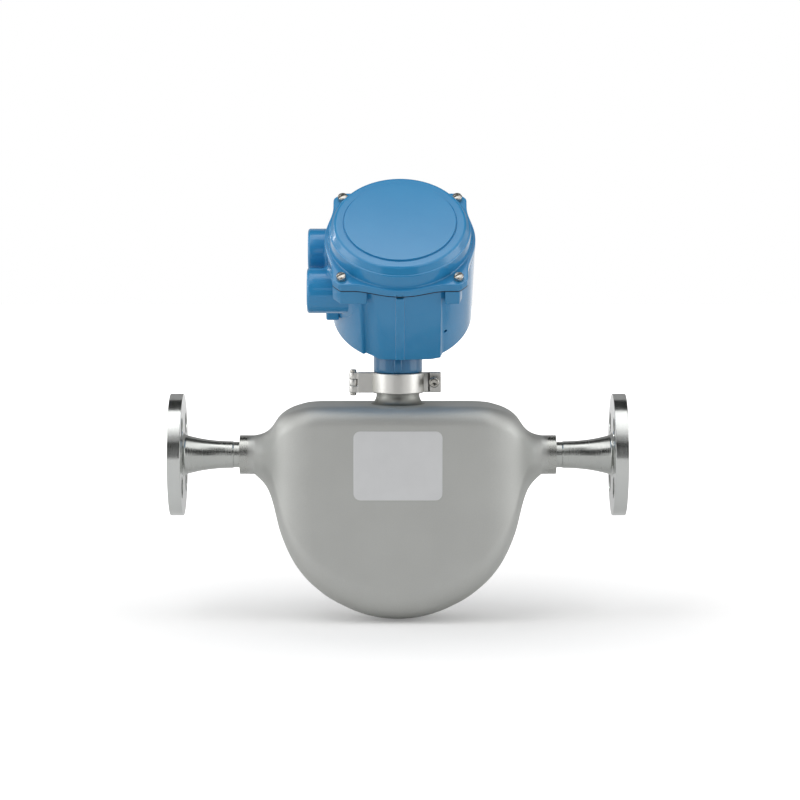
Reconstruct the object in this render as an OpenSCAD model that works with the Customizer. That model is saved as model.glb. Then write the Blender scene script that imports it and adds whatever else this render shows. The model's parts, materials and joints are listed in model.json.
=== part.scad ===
// Coriolis flow meter: twin U-tube sensor, stamped case, clamped swivel head.
// Millimetres. Origin: centre of the inlet flange's raised face. +X: flow. +Z: up.

/* [Process connections] */
// distance between the two raised faces
face_to_face = 334.6; // [318:0.2:360]
// outside diameter of each flange
flange_od = 88.9; // [86:0.1:100]
// thickness of the flange disc behind the raised face
flange_t = 9.6; // [8:0.1:14]
// diameter of the raised sealing face
raised_face_d = 34.9; // [32:0.1:40]
// height of the raised sealing face
raised_face_h = 1.6; // [1:0.1:3]
// diameter of the circle the bolt holes sit on
bolt_circle_d = 60.3; // [56:0.1:66]
// diameter of each bolt hole
bolt_hole_d = 15.9; // [12:0.1:17]
// number of bolt holes
bolt_count = 4; // [4:4:8]
// hub diameter where it leaves the disc
hub_base_d = 30.2; // [28:0.1:34]
// hub diameter at the weld
hub_end_d = 19.6; // [19:0.1:24]
// length through the hub, from the raised face
hub_len = 47.8; // [44:0.1:50]
// flow bore of each flange
bore_d = 15.8; // [12:0.1:16.4]

/* [Sensor case] */
// outside diameter of the case collar round each manifold
collar_d = 28.4; // [27.4:0.1:30]
// distance between the outer ends of the two collars
collar_span = 230.4; // [226:0.2:234]
// length of one plain collar
collar_len = 10.3; // [6:0.1:11]
// half the front to rear thickness of the case
case_half_width = 36; // [34:0.5:44]
// height of the case top above the flow axis
case_top = 37.5; // [36:0.1:37.7]
// depth of the case bottom below the flow axis
case_depth = 119.2; // [115:0.1:130]
// edge radius along the case bottom
case_edge_r = 26; // [20:0.5:30]
// wall of the stamped case halves
case_wall = 2; // [1.5:0.1:2.4]

/* [Label plate] */
// length of the plate
label_len = 64; // [50:0.5:80]
// height of the plate
label_h = 50; // [40:0.5:50]
// corner radius of the plate
label_r = 5; // [2:0.5:8]
// thickness of the plate
label_t = 0.5; // [0.3:0.1:1]
// height of the plate's centre above the flow axis
label_z = -4.4; // [-20:0.1:-3]

/* [Neck and clamp] */
// diameter of the stub's foot on the case
stub_foot_d = 42.4; // [40:0.1:43]
// diameter of the stub's waist under the clamp
stub_waist_d = 31.2; // [30.6:0.1:31.4]
// diameter of the two clamped flanges
neck_flange_d = 33.6; // [33:0.1:33.8]
// outside diameter of the painted neck
neck_d = 35.4; // [34:0.1:36]
// wire passage through stub and neck
wire_bore_d = 19; // [14:0.5:21]
// height of the clamp's lower edge above the flow axis
clamp_z = 45.6; // [45.2:0.1:46]
// height of the clamp band
clamp_h = 14.7; // [14.5:0.1:15]
// outside diameter of the clamp band
clamp_od = 37.6; // [37.2:0.1:38.4]
// distance of the hinge axis from the neck axis
hinge_x = 32.5; // [31:0.1:36]
// outside diameter of the hinge knuckles
knuckle_d = 6; // [5.4:0.1:6.4]
// diameter of the hinge pin
hinge_pin_d = 3; // [2.4:0.1:3.6]
// distance of the clamp screw from the neck axis
clamp_screw_x = 26.3; // [25.6:0.1:28]
// shank diameter of the clamp screw
clamp_screw_d = 4.6; // [3.6:0.1:5]
// head diameter of the clamp screw
clamp_screw_head_d = 7.8; // [7:0.1:8.4]

/* [Electronics head] */
// lean of the head towards the front
head_tilt = 40.9; // [38:0.1:44]
// height of the seam centre above the flow axis
head_z = 153.5; // [152:0.1:158]
// distance of the seam centre towards the outlet from the neck axis
head_x = 1.5; // [0:0.1:2]
// distance of the seam centre in front of the neck axis
head_y = 23.8; // [22:0.1:25]
// drum diameter at the seam
drum_d = 107.6; // [105:0.1:108]
// drum diameter at the bottom
drum_bottom_d = 103.4; // [101:0.1:104.6]
// depth of the housing below the seam
drum_h = 69.6; // [67:0.1:71]
// inside diameter of the housing
drum_bore_d = 92; // [88:0.5:93]
// floor thickness of the housing
drum_floor = 8; // [6:0.5:10]
// diameter of the two conduit bosses
boss_d = 32.7; // [30:0.1:35]
// distance between the two conduit axes
boss_pitch = 41.5; // [39:0.1:44]
// depth of the conduit axes below the seam
boss_drop = 25; // [22:0.1:28]
// distance of the boss ends from the head's centre
boss_reach = 66.8; // [62:0.1:72]
// thread bore of the conduit entries
conduit_bore_d = 21; // [18:0.1:22]

/* [Cover] */
// width of the cover's flange beyond its wall
cover_flange_w = 2.6; // [2:0.1:3.2]
// thickness of the cover's flange and ears
cover_flange_h = 6; // [5:0.1:7]
// height of the cover above the seam
cover_h = 23; // [21:0.1:26]
// diameter of the cover's upper rim
cover_top_d = 96.2; // [94:0.1:98]
// thickness of the cover's wall at its rim
cover_wall = 3.1; // [2.6:0.1:5]
// width of the rim round the cover's raised disc
cover_rim = 7.7; // [6:0.1:14]
// gap between the cover's wall and the screw heads
screw_gap = 3.3; // [2.6:0.1:4]
// distance from the screw axes to the sides of the ears
ear_reach = 6.8; // [6.2:0.1:7.4]
// head diameter of the cover screws
cover_screw_head_d = 7.8; // [7:0.1:8.2]
// shank diameter of the cover screws
cover_screw_d = 3.2; // [2.8:0.1:3.6]
// gasket thickness
gasket_t = 0.9; // [0.6:0.1:1.2]

/* [Flow tubes] */
// outside diameter of each flow tube
tube_d = 8; // [6:0.1:8.4]
// wall of each flow tube
tube_wall = 0.8; // [0.5:0.1:1.2]
// distance between the two flow tubes' planes
tube_pitch = 22; // [20:0.1:23]
// half the distance between a tube's two legs
loop_r = 55; // [50:0.5:58]
// height of the tubes' lowest centreline above the case bottom
loop_clear = 19.2; // [17:0.1:24]
// radius of the upper bends
bend_r = 20; // [16:0.5:22]

/* [Hidden] */
$fn = 96;

half_len = face_to_face / 2;
collar_r = collar_d / 2;
collar_end = collar_span / 2;
flare_x = collar_end - collar_len;
bore_r = bore_d / 2;
clear = 0.05;
manifold_bore_r = bore_r + 0.3;
spigot_r = hub_end_d / 2 - 0.4;
plug_r = collar_r - case_wall - 0.15;
block_x0 = 77;
block_x1 = 90;
block_y = 16.2;
block_z = 9;
tube_r = tube_d / 2;
tube_y = tube_pitch / 2;
tube_in = 4.5;
loop_z = case_depth - loop_clear - loop_r;
loop_bottom = loop_z + loop_r;
stub_top = clamp_z + 7.4;
neck_bottom = stub_top + 0.1;
clamp_top = clamp_z + clamp_h;
lip_h = 2;
lip_r = clamp_od / 2 - 2.9;
band_r = clamp_od / 2 - 1.7;
groove_d = 2 * lip_r - 0.8;
split = 0.5;
leaf_t = 3;
ear_t = 4.2;
head_gap = 0.6;
seam0 = gasket_t;
bottom_z = -drum_h;
floor_z = -drum_h + drum_floor;
module_h = 22;
screw_ring = drum_bore_d / 2 - 8;
cover_r = cover_top_d / 2;
cover_wall_r = cover_r + 3.4;
cover_flange_r = cover_wall_r + cover_flange_w;
ear_screw = (cover_wall_r + cover_screw_head_d / 2 + screw_gap) / sqrt(2);
ear_half = ear_screw + ear_reach;
ear_cut = ear_screw + 1;
ground_x = screw_ring - 0.4;
ground_y = -9;
module_top = floor_z + module_h;
cs = cos(head_tilt);
sn = sin(head_tilt);

// ---- placing ----
module mid() translate([half_len, 0, 0]) children();
module at_head() mid() translate([head_x, -head_y, head_z]) rotate([head_tilt, 0, 0]) children();
module along_x() rotate([0, 90, 0]) children();
module along_y() rotate([-90, 0, 0]) children();
module turned(pts) rotate_extrude() polygon(pts);
module outlet_side() translate([face_to_face, 0, 0]) rotate([0, 0, 180]) children();
module ring(ro, ri, h) difference() {
  cylinder(r = ro, h = h);
  translate([0, 0, -1]) cylinder(r = ri, h = h + 2);
}
module four_ears() for (sx = [-1, 1]) for (sy = [-1, 1])
  translate([sx * ear_screw, sy * ear_screw, 0]) children();
// points of a rounded corner between two directions
function corner(cx, cy, r, a0, a1, n) =
  [for (i = [0:n]) [cx + r * cos(a0 + (a1 - a0) * i / n), cy + r * sin(a0 + (a1 - a0) * i / n)]];

// ---- process connections ----
disc_end = raised_face_h + flange_t;
module flange_disc() difference() {
  along_x() turned([
    [bore_r, 0], [raised_face_d / 2 - 0.3, 0], [raised_face_d / 2, 0.3],
    [raised_face_d / 2, raised_face_h], [flange_od / 2 - 0.6, raised_face_h],
    [flange_od / 2, raised_face_h + 0.6], [flange_od / 2, disc_end - 0.6],
    [flange_od / 2 - 0.6, disc_end], [bore_r, disc_end]
  ]);
  for (i = [0:bolt_count - 1]) rotate([360 / bolt_count * (i + 0.5), 0, 0])
    translate([raised_face_h - 1, 0, bolt_circle_d / 2]) along_x()
      cylinder(d = bolt_hole_d, h = flange_t + 2);
}
module hub_cone() {
  hub_run = hub_len - disc_end;
  rb = hub_base_d / 2;
  re = hub_end_d / 2;
  along_x() turned([
    [bore_r, disc_end], [rb + 1.2, disc_end], [rb, disc_end + 1.2],
    [re + (rb - re) * 0.62, disc_end + hub_run * 0.2],
    [re + (rb - re) * 0.33, disc_end + hub_run * 0.44],
    [re + (rb - re) * 0.13, disc_end + hub_run * 0.7],
    [re, disc_end + hub_run * 0.9], [re, hub_len], [bore_r, hub_len]
  ]);
}
module inlet_flange() color("LightSteelBlue") flange_disc();
module outlet_flange() color("LightSteelBlue") outlet_side() flange_disc();
module inlet_hub() color("LightSteelBlue") hub_cone();
module outlet_hub() color("LightSteelBlue") outlet_side() hub_cone();

module manifold_piece() {
  s0 = hub_len;
  s1 = half_len - collar_end;
  s2 = s1 + collar_len - 0.3;
  b0 = half_len - block_x1;
  b1 = half_len - block_x0;
  difference() {
    union() {
      translate([s0, 0, 0]) along_x() cylinder(r = spigot_r, h = b0 - s0 + 1);
      translate([s1, 0, 0]) along_x() cylinder(r = plug_r, h = s2 - s1);
      translate([b0, -block_y, -block_z]) cube([b1 - b0, 2 * block_y, 2 * block_z]);
    }
    translate([s0 - 1, 0, 0]) along_x() cylinder(r = manifold_bore_r, h = b0 - s0 + 3);
    translate([b0 + 1.5, -block_y + 1.8, -3.6]) cube([6, 2 * block_y - 3.6, 7.2]);
    for (s = [-1, 1]) translate([b1 - tube_in - 1.2, s * tube_y, 0]) along_x()
      cylinder(r = tube_r + clear, h = tube_in + 2);
  }
}
module inlet_manifold() color("Silver") manifold_piece();
module outlet_manifold() color("Silver") outlet_side() manifold_piece();

// ---- stamped case: sections lofted along the flow ----
// share of the rise from collar to case top, by distance from mid-length
TOP_RISE = [[0, 1], [50, 1], [56, 0.995], [63.2, 0.972], [70.7, 0.9], [75, 0.84], [78.3, 0.776],
  [82, 0.68], [85.8, 0.53], [88.4, 0.37], [90.8, 0.225], [94, 0.11], [97.5, 0.045], [101, 0.012],
  [103.1, 0], [140, 0]];
// share of the drop from collar to case bottom
LOW_DROP = [[0, 1], [9, 0.995], [17.6, 0.982], [24, 0.966], [30.2, 0.945], [40, 0.902], [49, 0.854],
  [57, 0.796], [64, 0.735], [69.3, 0.677], [74, 0.614], [77.3, 0.558], [80.3, 0.498], [83, 0.435],
  [85.3, 0.369], [87.3, 0.292], [89.1, 0.22], [91, 0.158], [92.9, 0.112], [95.4, 0.072],
  [98, 0.043], [101, 0.016], [103.1, 0], [140, 0]];
// share of the widening from collar to full case width
WIDE = [[0, 1], [60, 1], [64, 0.99], [68, 0.965], [72, 0.925], [76, 0.865], [80, 0.78], [84, 0.66],
  [88, 0.5], [91, 0.365], [94, 0.235], [97, 0.12], [100, 0.04], [103.1, 0], [140, 0]];
STATIONS = [0, 9, 17.6, 24, 30.2, 35, 40, 44.5, 49, 53, 57, 60.5, 64, 66.7, 69.3, 71.7, 74, 75.7,
  77.3, 78.8, 80.3, 81.7, 83, 84.2, 85.3, 86.3, 87.3, 88.2, 89.1, 91, 92.9, 95.4, 98, 101, 103.1];
x_scale = flare_x / 103;
function top_z(x) = collar_r + (case_top - collar_r) * lookup(abs(x) / x_scale, TOP_RISE);
function low_z(x) = collar_r + (case_depth - collar_r) * lookup(abs(x) / x_scale, LOW_DROP);
function half_w(x) = collar_r + (case_half_width - collar_r) * lookup(abs(x) / x_scale, WIDE);
// one section, from the top of the joint round the side to the bottom of the joint
ARC_N = 7;
function section(x, t) =
  let (xs = abs(x) + (t > 0 ? 1.7 : 0))
  let (w = half_w(xs) - t, zt = top_z(xs) - t, zb = low_z(xs) - t)
  let (rt = collar_r - t - 0.2, rb = min(w, zb, case_edge_r - t) - 0.2)
  concat([[0, zt]], corner(w - rt, zt - rt, rt, 90, 0, ARC_N),
    corner(w - rb, rb - zb, rb, 0, -90, ARC_N), [[0, -zb]]);
// mirrored list of station positions, end to end
XS = concat([-collar_end], [for (i = [len(STATIONS) - 1:-1:1]) -STATIONS[i] * x_scale],
  [for (s = STATIONS) s * x_scale], [collar_end]);
function reversed(v) = [for (i = [len(v) - 1:-1:0]) v[i]];
module half_shell(side) {
  n = 2 * (2 * (ARC_N + 1) + 2);
  m = len(XS);
  pts = [for (x = XS) each [for (p = concat(section(x, 0), reversed(section(x, case_wall))))
    [x, side * p[0], p[1]]]];
  function q(i, j) = i * n + (j % n);
  skin = [for (i = [0:m - 2]) for (j = [0:n - 1]) each [
    [q(i, j), q(i, j + 1), q(i + 1, j + 1)], [q(i, j), q(i + 1, j + 1), q(i + 1, j)]]];
  ends = [for (e = [0, m - 1]) for (j = [0:n / 2 - 2]) each (e == 0 ?
    [[q(e, j), q(e, n - 1 - j), q(e, j + 1)], [q(e, j + 1), q(e, n - 1 - j), q(e, n - 2 - j)]] :
    [[q(e, j), q(e, j + 1), q(e, n - 1 - j)], [q(e, j + 1), q(e, n - 2 - j), q(e, n - 1 - j)]])];
  faces = [for (f = concat(skin, ends)) side < 0 ? f : [f[0], f[2], f[1]]];
  difference() {
    polyhedron(points = pts, faces = faces);
    translate([0, 0, case_top - case_wall - 2]) cylinder(d = wire_bore_d, h = case_wall + 4);
  }
}
module case_front_shell() color("Silver") mid() half_shell(-1);
module case_rear_shell() color("Silver") mid() half_shell(1);

module case_label() color("Gainsboro") mid()
  translate([0, -case_half_width, label_z]) rotate([90, 0, 0]) linear_extrude(label_t)
    union() {
      square([label_len - 2 * label_r, label_h], center = true);
      square([label_len, label_h - 2 * label_r], center = true);
      for (sx = [-1, 1]) for (sy = [-1, 1])
        translate([sx * (label_len / 2 - label_r), sy * (label_h / 2 - label_r)]) circle(label_r);
    }

// ---- neck stub on the case ----
module neck_stub() color("DarkGray") mid() {
  rw = stub_waist_d / 2;
  rf = stub_foot_d / 2;
  run = clamp_z - 1.2 - case_top;
  rotate_extrude() difference() {
    polygon([
      [wire_bore_d / 2, case_top], [rf, case_top],
      [rf - (rf - rw) * 0.15, case_top + run * 0.22], [rf - (rf - rw) * 0.38, case_top + run * 0.46],
      [rf - (rf - rw) * 0.68, case_top + run * 0.73], [rw, case_top + run],
      [groove_d / 2, clamp_z - 0.3], [groove_d / 2, clamp_z + lip_h + 0.3],
      [neck_flange_d / 2, clamp_z + lip_h + 0.5], [neck_flange_d / 2, stub_top],
      [wire_bore_d / 2, stub_top]]);
    translate([12.4, stub_top - 1.5]) square([2.2, 3]);
  }
}
module neck_seal() color("Black") mid() translate([0, 0, stub_top - 1.5])
  ring(14.5, 12.5, 1.55);

// ---- flow tubes ----
module tube_ring() difference() {
  circle(r = tube_r);
  circle(r = tube_r - tube_wall);
}
module arc_piece(r, a0, a1) rotate([90, 0, 0]) rotate([0, 0, a0])
  rotate_extrude(angle = a1 - a0) translate([r, 0]) tube_ring();
module flow_tube(y) {
  xb = loop_r + bend_r;
  xe = block_x0 + tube_in;
  zd = loop_z - bend_r;
  translate([0, y, 0]) {
    for (s = [-1, 1]) {
      translate([s > 0 ? xb : -xe, 0, 0]) along_x() linear_extrude(xe - xb) tube_ring();
      translate([s * loop_r, 0, -loop_z]) linear_extrude(zd) tube_ring();
    }
    translate([-xb, 0, -bend_r]) arc_piece(bend_r, 0, 90);
    translate([xb, 0, -bend_r]) arc_piece(bend_r, 90, 180);
    translate([0, 0, -loop_z]) arc_piece(loop_r, 180, 360);
  }
}
module flow_tube_front() color("SteelBlue") mid() flow_tube(-tube_y);
module flow_tube_rear() color("SteelBlue") mid() flow_tube(tube_y);

module brace_bar(x) translate([x, 0, -bend_r - 5]) difference() {
  translate([-7, -tube_y - 6, 0]) cube([14, tube_pitch + 12, 2]);
  for (s = [-1, 1]) translate([0, s * tube_y, -1]) cylinder(r = tube_r + clear, h = 4);
}
module inlet_brace_bar() color("Silver") mid() brace_bar(-loop_r);
module outlet_brace_bar() color("Silver") mid() brace_bar(loop_r);
module manifold_spacer() color("Silver") mid()
  translate([-block_x0, -block_y, 5.2]) cube([2 * block_x0, 2 * block_y, 3.8]);

// ---- drive and pickoffs, between the tubes ----
gap_y = tube_y - tube_r;
module coil(r) along_y() translate([0, 0, -gap_y + 1.2]) ring(r, r * 0.5, gap_y - 1.2);
module magnet(r) along_y() {
  translate([0, 0, -gap_y + 3]) cylinder(r = r * 0.4, h = gap_y);
  translate([0, 0, 2.6]) cylinder(r = r * 0.8, h = gap_y - 3.8);
}
module bracket_pair(r) for (s = [-1, 1]) translate([-r, s > 0 ? gap_y - 1.2 : -gap_y, -r])
  cube([2 * r, 1.2, 2 * r]);
module at_drive() mid() translate([0, 0, -loop_bottom]) children();
module at_pickoff(s) mid() translate([s * loop_r, 0, -loop_z]) children();
module drive_coil() color("Sienna") at_drive() coil(7.5);
module drive_magnet() color("DimGray") at_drive() magnet(7.5);
module drive_brackets() color("Silver") at_drive() bracket_pair(7.5);
module inlet_pickoff_coil() color("Sienna") at_pickoff(-1) coil(5.5);
module inlet_pickoff_magnet() color("DimGray") at_pickoff(-1) magnet(5.5);
module outlet_pickoff_coil() color("Sienna") at_pickoff(1) coil(5.5);
module outlet_pickoff_magnet() color("DimGray") at_pickoff(1) magnet(5.5);
module pickoff_brackets() color("Silver") for (s = [-1, 1]) at_pickoff(s) bracket_pair(5.5);
module temperature_sensor() color("Gold") mid()
  translate([-loop_r - 3, -tube_y - tube_r - 2, -bend_r - 15]) cube([6, 2, 8]);

// ---- wiring up the neck ----
module feedthrough() color("DimGray") mid() translate([0, 0, case_top + 1])
  difference() {
    cylinder(d = wire_bore_d - 0.1, h = 5);
    for (i = [0:8]) rotate([0, 0, 40 * i]) translate([6.5, 0, -1]) cylinder(r = 0.5, h = 7);
    translate([0, 0, -1]) cylinder(r = 3.05, h = 7);
  }
module feedthrough_pins() color("Gold") mid()
  for (i = [0:8]) rotate([0, 0, 40 * i]) translate([6.5, 0, case_top - 3]) cylinder(r = 0.45, h = 12);
module sensor_cable() color("Black") mid()
  translate([0, 0, case_top - 1]) cylinder(r = 3, h = head_z - 74 - case_top);

// ---- two-piece clamp ----
module clamp_ring(a0) rotate([0, 0, a0]) rotate_extrude(angle = 176)
  polygon([
    [lip_r, clamp_z], [clamp_od / 2 - 0.5, clamp_z], [clamp_od / 2, clamp_z + 0.5],
    [clamp_od / 2, clamp_top - 0.5], [clamp_od / 2 - 0.5, clamp_top], [lip_r, clamp_top],
    [lip_r, clamp_top - lip_h], [band_r, clamp_top - lip_h - 0.2],
    [band_r, clamp_z + lip_h + 0.2], [lip_r, clamp_z + lip_h]]);
kn = clamp_h / 3;
// s = -1 front half, 1 rear half; knuckles at the given thirds
module clamp_half(s, thirds) {
  y0 = s > 0 ? split : -split - leaf_t;
  ear_x0 = clamp_od / 2 + 2.7;
  difference() {
    union() {
      clamp_ring(s > 0 ? 2 : -178);
      translate([-hinge_x + knuckle_d / 2 + 0.25, y0, clamp_z])
        cube([hinge_x - knuckle_d / 2 - 0.25 - clamp_od / 2 + 0.8, leaf_t, clamp_h]);
      translate([clamp_od / 2 - 0.8, s > 0 ? split : -split - 2, clamp_z]) cube([5, 2, clamp_h]);
      translate([ear_x0, s > 0 ? split : -split - ear_t, clamp_z]) cube([10, ear_t, clamp_h]);
      for (k = thirds) translate([-hinge_x, 0, clamp_z + k * kn + (k > 0 ? 0.1 : 0)]) {
        cylinder(d = knuckle_d, h = kn - (k == 1 ? 0.2 : 0.1));
        translate([0, s > 0 ? split : -split - 2.5, 0])
          cube([knuckle_d / 2 + 1, 2.5, kn - (k == 1 ? 0.2 : 0.1)]);
      }
    }
    translate([-hinge_x, 0, clamp_z - 1]) cylinder(r = hinge_pin_d / 2 + clear, h = clamp_h + 2);
    translate([clamp_screw_x, -10, clamp_z + clamp_h / 2 + 0.5]) along_y()
      cylinder(r = clamp_screw_d / 2 + head_gap, h = 20);
  }
}
module clamp_rear_half() color("Silver") mid() clamp_half(1, [1]);
module clamp_front_half() color("Silver") mid() clamp_half(-1, [0, 2]);
module clamp_hinge_pin() color("Gray") mid() translate([-hinge_x, 0, 0]) {
  translate([0, 0, clamp_z - 1.6]) cylinder(d = hinge_pin_d, h = clamp_h + 3.2);
  translate([0, 0, clamp_top + 0.15]) cylinder(d = hinge_pin_d + 1.6, h = 2);
  translate([0, 0, clamp_z - 2.15]) cylinder(d = hinge_pin_d + 1.6, h = 2);
}
module clamp_screw() color("Gray") mid()
  translate([clamp_screw_x, -split - ear_t, clamp_z + clamp_h / 2 + 0.5]) difference() {
    union() {
      along_y() cylinder(d = clamp_screw_d, h = 2 * ear_t + 2 * split - 0.3);
      rotate([90, 0, 0]) cylinder(d = clamp_screw_head_d, h = clamp_screw_d);
    }
    translate([0, -clamp_screw_d - 1, 0]) along_y() cylinder(r = 2.3, h = 3.6, $fn = 6);
  }

// ---- electronics head ----
lug_half = ear_half - 1.8;
module ear_outline(half, cut) polygon([
  [half, -cut], [half, cut], [cut, half], [-cut, half],
  [-half, cut], [-half, -cut], [-cut, -half], [cut, -half]]);
// front panel: two flats either side of a rib, u counted towards the front
FRONT = [[-32, 36], [-31, 39.8], [-24, 45.2], [-3, 52.3], [-3, 54], [3, 54], [3, 52.3],
  [29.4, 45.2], [29.4, 36]];
FRONT_CUT = [[-24, 45.2], [-3, 52.3], [3, 52.3], [29.4, 45.2], [29.4, 70], [-24, 70]];
module front_prism(pts, z0, h) translate([0, 0, z0]) linear_extrude(h)
  polygon([for (p = pts) [p[0], -p[1]]]);
module drum_body() rotate_extrude() polygon(concat(
  [[0, bottom_z]], corner(drum_bottom_d / 2 - 3, bottom_z + 3, 3, -90, 0, 4),
  [[drum_d / 2, 0], [0, 0]]));
module conduit_boss() rotate([0, -90, 0]) turned(concat(
  [[0, 30], [boss_d / 2, 30]], corner(boss_d / 2 - 2, boss_reach - 2, 2, 0, 90, 4),
  [[0, boss_reach]]));
module head_shell_outer() {
  difference() {
    drum_body();
    front_prism(FRONT_CUT, bottom_z - 1, drum_h + 2);
  }
  front_prism(FRONT, bottom_z + 1.5, drum_h - 1.5);
  for (s = [-1, 1]) translate([0, s * boss_pitch / 2, -boss_drop]) conduit_boss();
  translate([0, 0, -12.5]) linear_extrude(12.5) difference() {
    ear_outline(lug_half, lug_half - 4);
    for (a = [0, 90]) rotate(a) square([2 * (ear_screw - 8), 3 * lug_half], center = true);
  }
  translate([-53.4, -28, -48]) cube([9.4, 14, 16]);
}
module head_housing() color("SteelBlue") difference() {
  at_head() head_shell_outer();
  at_head() translate([0, 0, floor_z]) cylinder(d = drum_bore_d, h = drum_h);
  mid() translate([0, 0, neck_bottom - 1]) cylinder(d = wire_bore_d, h = 60);
  for (s = [-1, 1]) at_head() translate([-boss_reach - 1, s * boss_pitch / 2, -boss_drop])
    along_x() cylinder(d = conduit_bore_d, h = 40);
  at_head() four_ears() translate([0, 0, -11]) cylinder(r = cover_screw_d / 2 + 0.35, h = 12);
  at_head() translate([32.6, -38.5, -46]) rotate([90, 0, 0]) cylinder(r = 1.2, h = 8);
  at_head() translate([-2.6, -56, -1.6]) cube([5.2, 6.5, 2]);
}
// neck and rear web: cast on under the drum
module head_neck() color("SteelBlue") difference() {
  union() {
    mid() turned([[0, neck_bottom], [neck_flange_d / 2, neck_bottom],
      [neck_flange_d / 2, clamp_top - lip_h - 0.5], [groove_d / 2, clamp_top - lip_h - 0.3],
      [groove_d / 2, clamp_top + 0.2], [neck_d / 2 - 0.3, clamp_top + 0.5],
      [neck_d / 2, clamp_top + 0.8], [neck_d / 2, head_z - 49.5], [0, head_z - 49.5]]);
    mid() translate([-3, -neck_d / 2 - 1.3, clamp_top + 1.4]) cube([6, 5, 11]);
    mid() translate([-3.5, 0, 0]) rotate([90, 0, 90]) linear_extrude(7)
      polygon([[neck_d / 2 - 3, clamp_top + 4], [neck_d / 2 - 0.2, clamp_top + 4],
        [46, 126], [40, 128], [neck_d / 2 - 3, 108]]);
  }
  at_head() drum_body();
  at_head() front_prism(FRONT, bottom_z + 1.5, drum_h - 1.5);
  mid() translate([0, 0, neck_bottom - 1]) cylinder(d = wire_bore_d, h = 60);
}

// ---- inside the head ----
module electronics_module() color("DimGray") {
  at_head() translate([0, 0, floor_z]) difference() {
    cylinder(r = drum_bore_d / 2 - 3, h = module_top - floor_z);
    for (i = [0:2]) rotate([0, 0, 30 + 120 * i]) translate([screw_ring, 0, module_top - floor_z - 8])
      cylinder(r = 1.6, h = 9);
    translate([ground_x, ground_y, module_top - floor_z - 8]) cylinder(r = 1.6, h = 9);
  }
}
module terminal_board() color("DarkGreen") at_head() translate([0, 0, module_top])
  cylinder(r = drum_bore_d / 2 - 12, h = 1.6);
module terminal_block(n, x, y) translate([x, y, module_top + 1.6]) difference() {
  translate([-n * 4, -6, 0]) cube([n * 8, 12, 11]);
  for (i = [0:n - 1]) translate([(i - (n - 1) / 2) * 8, 0, 0]) {
    translate([0, 2, 4]) cylinder(r = 2.4, h = 8);
    translate([-2.4, -7, 2]) cube([4.8, 6, 5]);
  }
}
module block_screws(n, x, y) for (i = [0:n - 1])
  translate([x + (i - (n - 1) / 2) * 8, y + 2, module_top + 5.6]) difference() {
    cylinder(r = 2.2, h = 5);
    translate([-3, -0.4, 4]) cube([6, 0.8, 2]);
  }
module power_terminals() color("Black") at_head() terminal_block(3, 8, 20);
module signal_terminals() color("Black") at_head() terminal_block(6, 0, -14);
module terminal_screws() color("Silver") at_head() {
  block_screws(3, 8, 20);
  block_screws(6, 0, -14);
}
module module_screws() color("Silver") at_head()
  for (i = [0:2]) rotate([0, 0, 30 + 120 * i]) translate([screw_ring, 0, module_top]) {
    translate([0, 0, -7]) cylinder(r = 1.5, h = 8);
    cylinder(r = 3.2, h = 2.4);
  }
module ground_screw() color("ForestGreen") at_head() translate([ground_x, ground_y, module_top]) {
  translate([0, 0, -7]) cylinder(r = 1.5, h = 8);
  cylinder(r = 3.6, h = 3);
}

// ---- cover ----
cover_wall_top = cover_h - 5.6;
cover_disc_r = cover_r - cover_rim;
module cover_outline() {
  circle(r = cover_flange_r);
  ear_outline(ear_half, ear_cut);
}
module cover_gasket() color("Black") at_head() linear_extrude(gasket_t) difference() {
  union() {
    circle(r = cover_flange_r - 0.5);
    ear_outline(ear_half - 0.5, ear_cut - 0.2);
  }
  circle(d = drum_bore_d + 2);
  four_ears() circle(r = cover_screw_d / 2 + 0.5);
}
module head_cover() color("SteelBlue") at_head() difference() {
  union() {
    translate([0, 0, seam0]) linear_extrude(cover_flange_h) cover_outline();
    turned(concat([[0, seam0], [cover_wall_r, seam0], [cover_wall_r, seam0 + cover_flange_h],
      [cover_r + 2.4, cover_wall_top - 0.6], [cover_r + 1.8, cover_wall_top],
      [cover_r, cover_wall_top + 0.2]], corner(cover_r - 3.4, cover_h - 3.4, 3.4, 0, 90, 5),
      [[cover_disc_r + 0.3, cover_h], [cover_disc_r, cover_h + 0.8], [0, cover_h + 0.8]]));
  }
  translate([0, 0, -1]) cylinder(r = cover_r - cover_wall, h = cover_h - 3.5);
  four_ears() translate([0, 0, -1]) cylinder(r = cover_screw_d / 2 + 0.3, h = 12);
  translate([-2.6, -cover_flange_r - 1, seam0 - 0.5]) cube([5.2, 4, 1.9]);
}
module cover_screws() color("Silver") at_head() four_ears()
  translate([0, 0, seam0 + cover_flange_h]) difference() {
    union() {
      translate([0, 0, -cover_flange_h - gasket_t - 8.5]) cylinder(d = cover_screw_d, h = cover_flange_h + 10);
      turned(concat([[0, 0]], [[cover_screw_head_d / 2, 0]],
        corner(cover_screw_head_d / 2 - 1, 3.4, 1, 0, 90, 3), [[0, 4.4]]));
    }
    rotate([0, 0, 30]) translate([-5, -0.55, 3]) cube([10, 1.1, 3]);
  }

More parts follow.
